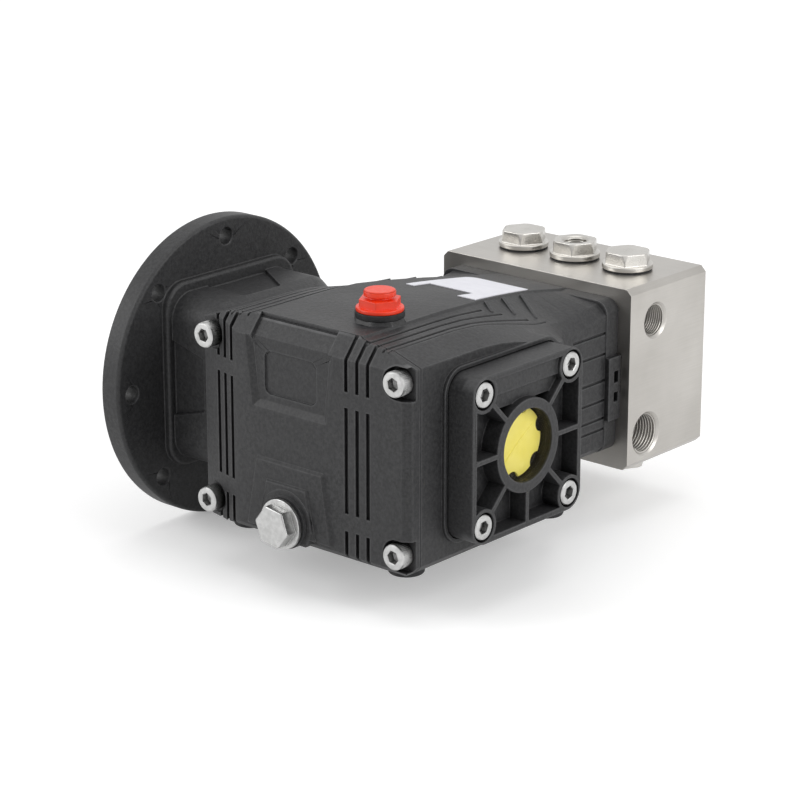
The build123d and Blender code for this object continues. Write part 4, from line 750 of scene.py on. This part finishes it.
# %% The tree that knurls and places screws
screw_tree = GeometryTree("knurled_screws", Blank="Object", Finish="Material", Facing="Vector", Seed="Int",
                          Head_Radius="Float", Knurl_Height="Float", Knurl_Rise="Float",
                          Knurl_Count="Int", Ridge="Float")
t = screw_tree
rim = t.node("GeometryNodeMeshCircle", (
    ("Vertices", t.given("Knurl_Count")), ("Radius", t.given("Head_Radius"))))
ridge = t.node("GeometryNodeMeshCone", (
    ("Vertices", 4), ("Radius Top", t.given("Ridge")), ("Radius Bottom", t.given("Ridge")),
    ("Depth", t.given("Knurl_Height"))))
around = t.node("GeometryNodeInputPosition")
outward = t.node("FunctionNodeAlignRotationToVector", (("Vector", around.outputs[0]),),
                 axis="X", pivot_axis="Z")
knurl = t.node("GeometryNodeInstanceOnPoints", (
    ("Points", rim.outputs[0]), ("Instance", ridge.outputs[0]), ("Rotation", outward.outputs[0])))
ribs = t.node("GeometryNodeTransform", (
    ("Geometry", knurl.outputs[0]), ("Translation", t.vector(z=t.given("Knurl_Rise")))))
blank = t.node("GeometryNodeObjectInfo", (("Object", t.given("Blank")),))
whole = t.node("GeometryNodeJoinGeometry")
for part in (ribs.outputs[0], blank.outputs["Geometry"]):
    t.group.links.new(part, whole.inputs[0])
solid = t.node("GeometryNodeRealizeInstances", (("Geometry", whole.outputs[0]),))
t.repeat(solid.outputs[0])
print("screw tree has", len(t.group.nodes), "nodes")

# %% Put the screws in
QUARTER = math.pi / 2
FIRST_SEED = 3
KNURL_COUNT = 44
KNURL_RIDGE = 0.24 * MM
KNURL_SINK = 0.25 * MM    # how far the ridges' axes lie inside the head
KNURL_FROM = 0.08         # shares of the head's height: where the knurl starts
KNURL_TALL = 0.68         # and how tall it is
M8_SCREW = dict(head_r=6.5 * MM, head_h=8.0 * MM, key=6.0 * MM, shank_r=4.0 * MM)
M6_SCREW = dict(head_r=5.0 * MM, head_h=6.0 * MM, key=5.0 * MM, shank_r=3.0 * MM)
for number, (node, name, size, axis, sign, facing) in enumerate((
        ("rear_cover_screws", "knurled_rear_screws", M8_SCREW, 1, -1, (QUARTER, 0, 0)),
        ("side_cover_screws", "knurled_side_screws", M8_SCREW, 0, 1, (0, QUARTER, 0)),
        ("manifold_screws", "knurled_manifold_screws", M6_SCREW, 1, 1, (-QUARTER, 0, 0)),
        ("housing_screws", "knurled_housing_screws", M6_SCREW, 0, -1, (0, -QUARTER, 0)))):
    shape = merged_mesh(node, "scratch")
    boxes = [corners(shape, members) for members in islands(shape)]
    bpy.data.meshes.remove(shape)
    places = []
    for low, high in boxes:
        place = (low + high) / 2
        place[axis] = (high if sign > 0 else low)[axis] - sign * size["head_h"]
        places.append(place)
    length = boxes[0][1][axis] - boxes[0][0][axis] - size["head_h"]
    template = plain_screw(shank_l=length, **size)
    mesh = grow(screw_tree, name, places, Blank=template, Finish=paints["screw_steel"], Facing=facing,
                Seed=FIRST_SEED + number, Head_Radius=size["head_r"] - KNURL_SINK,
                Knurl_Height=size["head_h"] * KNURL_TALL, Knurl_Rise=size["head_h"] * KNURL_FROM,
                Knurl_Count=KNURL_COUNT, Ridge=KNURL_RIDGE)
    bpy.data.objects.remove(template)
    show(name, mesh, node, replaced=[node])
    print(name, len(places), "screws", len(mesh.polygons), "faces")

# %% [markdown]
# ## Threads in the ports
# A pipe thread is a ridge that climbs the wall of the hole. In a tree it is a spiral curve with a small
# lozenge swept along it: half of the lozenge lies inside the wall, and the other half is the ridge.
# The record's mounts say where each port is, how wide and how deep. The pipe thread standard gives the
# rise: 19 turns an inch on the two small ports and 14 on the inlet.

# %% The tree that climbs a thread
thread_tree = GeometryTree("port_thread", Finish="Material", Facing="Vector", Seed="Int", Radius="Float",
                           Rise="Float", Length="Float", Ridge="Float")
t = thread_tree
turns = t.math("DIVIDE", t.given("Length"), t.given("Rise"))
spiral = t.node("GeometryNodeCurveSpiral", (
    ("Resolution", 40), ("Rotations", turns), ("Start Radius", t.given("Radius")),
    ("End Radius", t.given("Radius")), ("Height", t.given("Length"))))
lozenge = t.node("GeometryNodeCurvePrimitiveCircle", (("Resolution", 4), ("Radius", t.given("Ridge"))))
sweep = t.node("GeometryNodeCurveToMesh", (
    ("Curve", spiral.outputs[0]), ("Profile Curve", lozenge.outputs[0]), ("Fill Caps", True)))
t.repeat(sweep.outputs[0])
print("thread tree has", len(t.group.nodes), "nodes")

# %% Cut the three threads
RISE_OF_19 = 1.337 * MM
RISE_OF_14 = 1.814 * MM
RIDGE_SHARE = 0.46        # half of the lozenge's width, as a share of the rise
for port, node, rise in (("outlet_port", "manifold_block", RISE_OF_19),
                         ("inlet_port", "manifold_block", RISE_OF_14),
                         ("gauge_port", "gauge_port_cap", RISE_OF_19)):
    mount = next(m for m in frame["record"]["mounts"] if m["name"] == port)
    facing = (0, QUARTER, 0) if mount["axis"][0] else (0, 0, 0)
    length = mount["dims"]["length_mm"] * MM
    foot = Vector(mount["pos_m"]) - Vector(mount["axis"]) * length / 2
    mesh = grow(thread_tree, port + "_thread", [foot], Finish=paints[slot_of[node]], Facing=facing,
                Seed=1, Radius=mount["dims"]["r_mm"] * MM, Rise=rise, Length=length, Ridge=RIDGE_SHARE * rise)
    show(port + "_thread", mesh, node)
    print(port, len(mesh.polygons), "faces")

# %% [markdown]
# ## The disc behind the sight glass
# The yellow disc is moulded in two halves, and a fine raised seam crosses it on a slant. The seam is a
# bevelled curve that lies on the disc, turned into a mesh.

# %% Disc and seam
SEAM_POINTS = 9
SEAM_R = 0.4 * MM
SEAM_HALF_L, SEAM_CLIMB, SEAM_BOW = 12.5, 9.0, 1.5    # mm, from the disc's middle
rounded("sight_glass_plate", "moulded_disc", 0.25 * MM, segments=2)
disc_low, disc_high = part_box("sight_glass_plate")
disc_middle = (disc_low + disc_high) / 2
seam_curve = bpy.data.curves.new("disc_seam", "CURVE")
seam_curve.dimensions = "3D"
seam_curve.bevel_depth = SEAM_R
seam_curve.bevel_resolution = 2
seam_curve.use_fill_caps = True
line = seam_curve.splines.new("POLY")
line.points.add(SEAM_POINTS - 1)
for i in range(SEAM_POINTS):
    along = 2 * i / (SEAM_POINTS - 1) - 1
    line.points[i].co = (disc_high.x, disc_middle.y + SEAM_HALF_L * MM * along,
                         disc_middle.z + (SEAM_CLIMB * along - SEAM_BOW * along * along) * MM, 1)
seam_host = bpy.data.objects.new("disc_seam_host", seam_curve)
scene.collection.objects.link(seam_host)
bpy.context.view_layer.update()
seam_result = seam_host.evaluated_get(bpy.context.evaluated_depsgraph_get())
seam_mesh = bpy.data.meshes.new_from_object(seam_result)
bpy.data.objects.remove(seam_host)
show("disc_seam", seam_mesh, "sight_glass_plate")
print("seam has", len(seam_mesh.polygons), "faces")
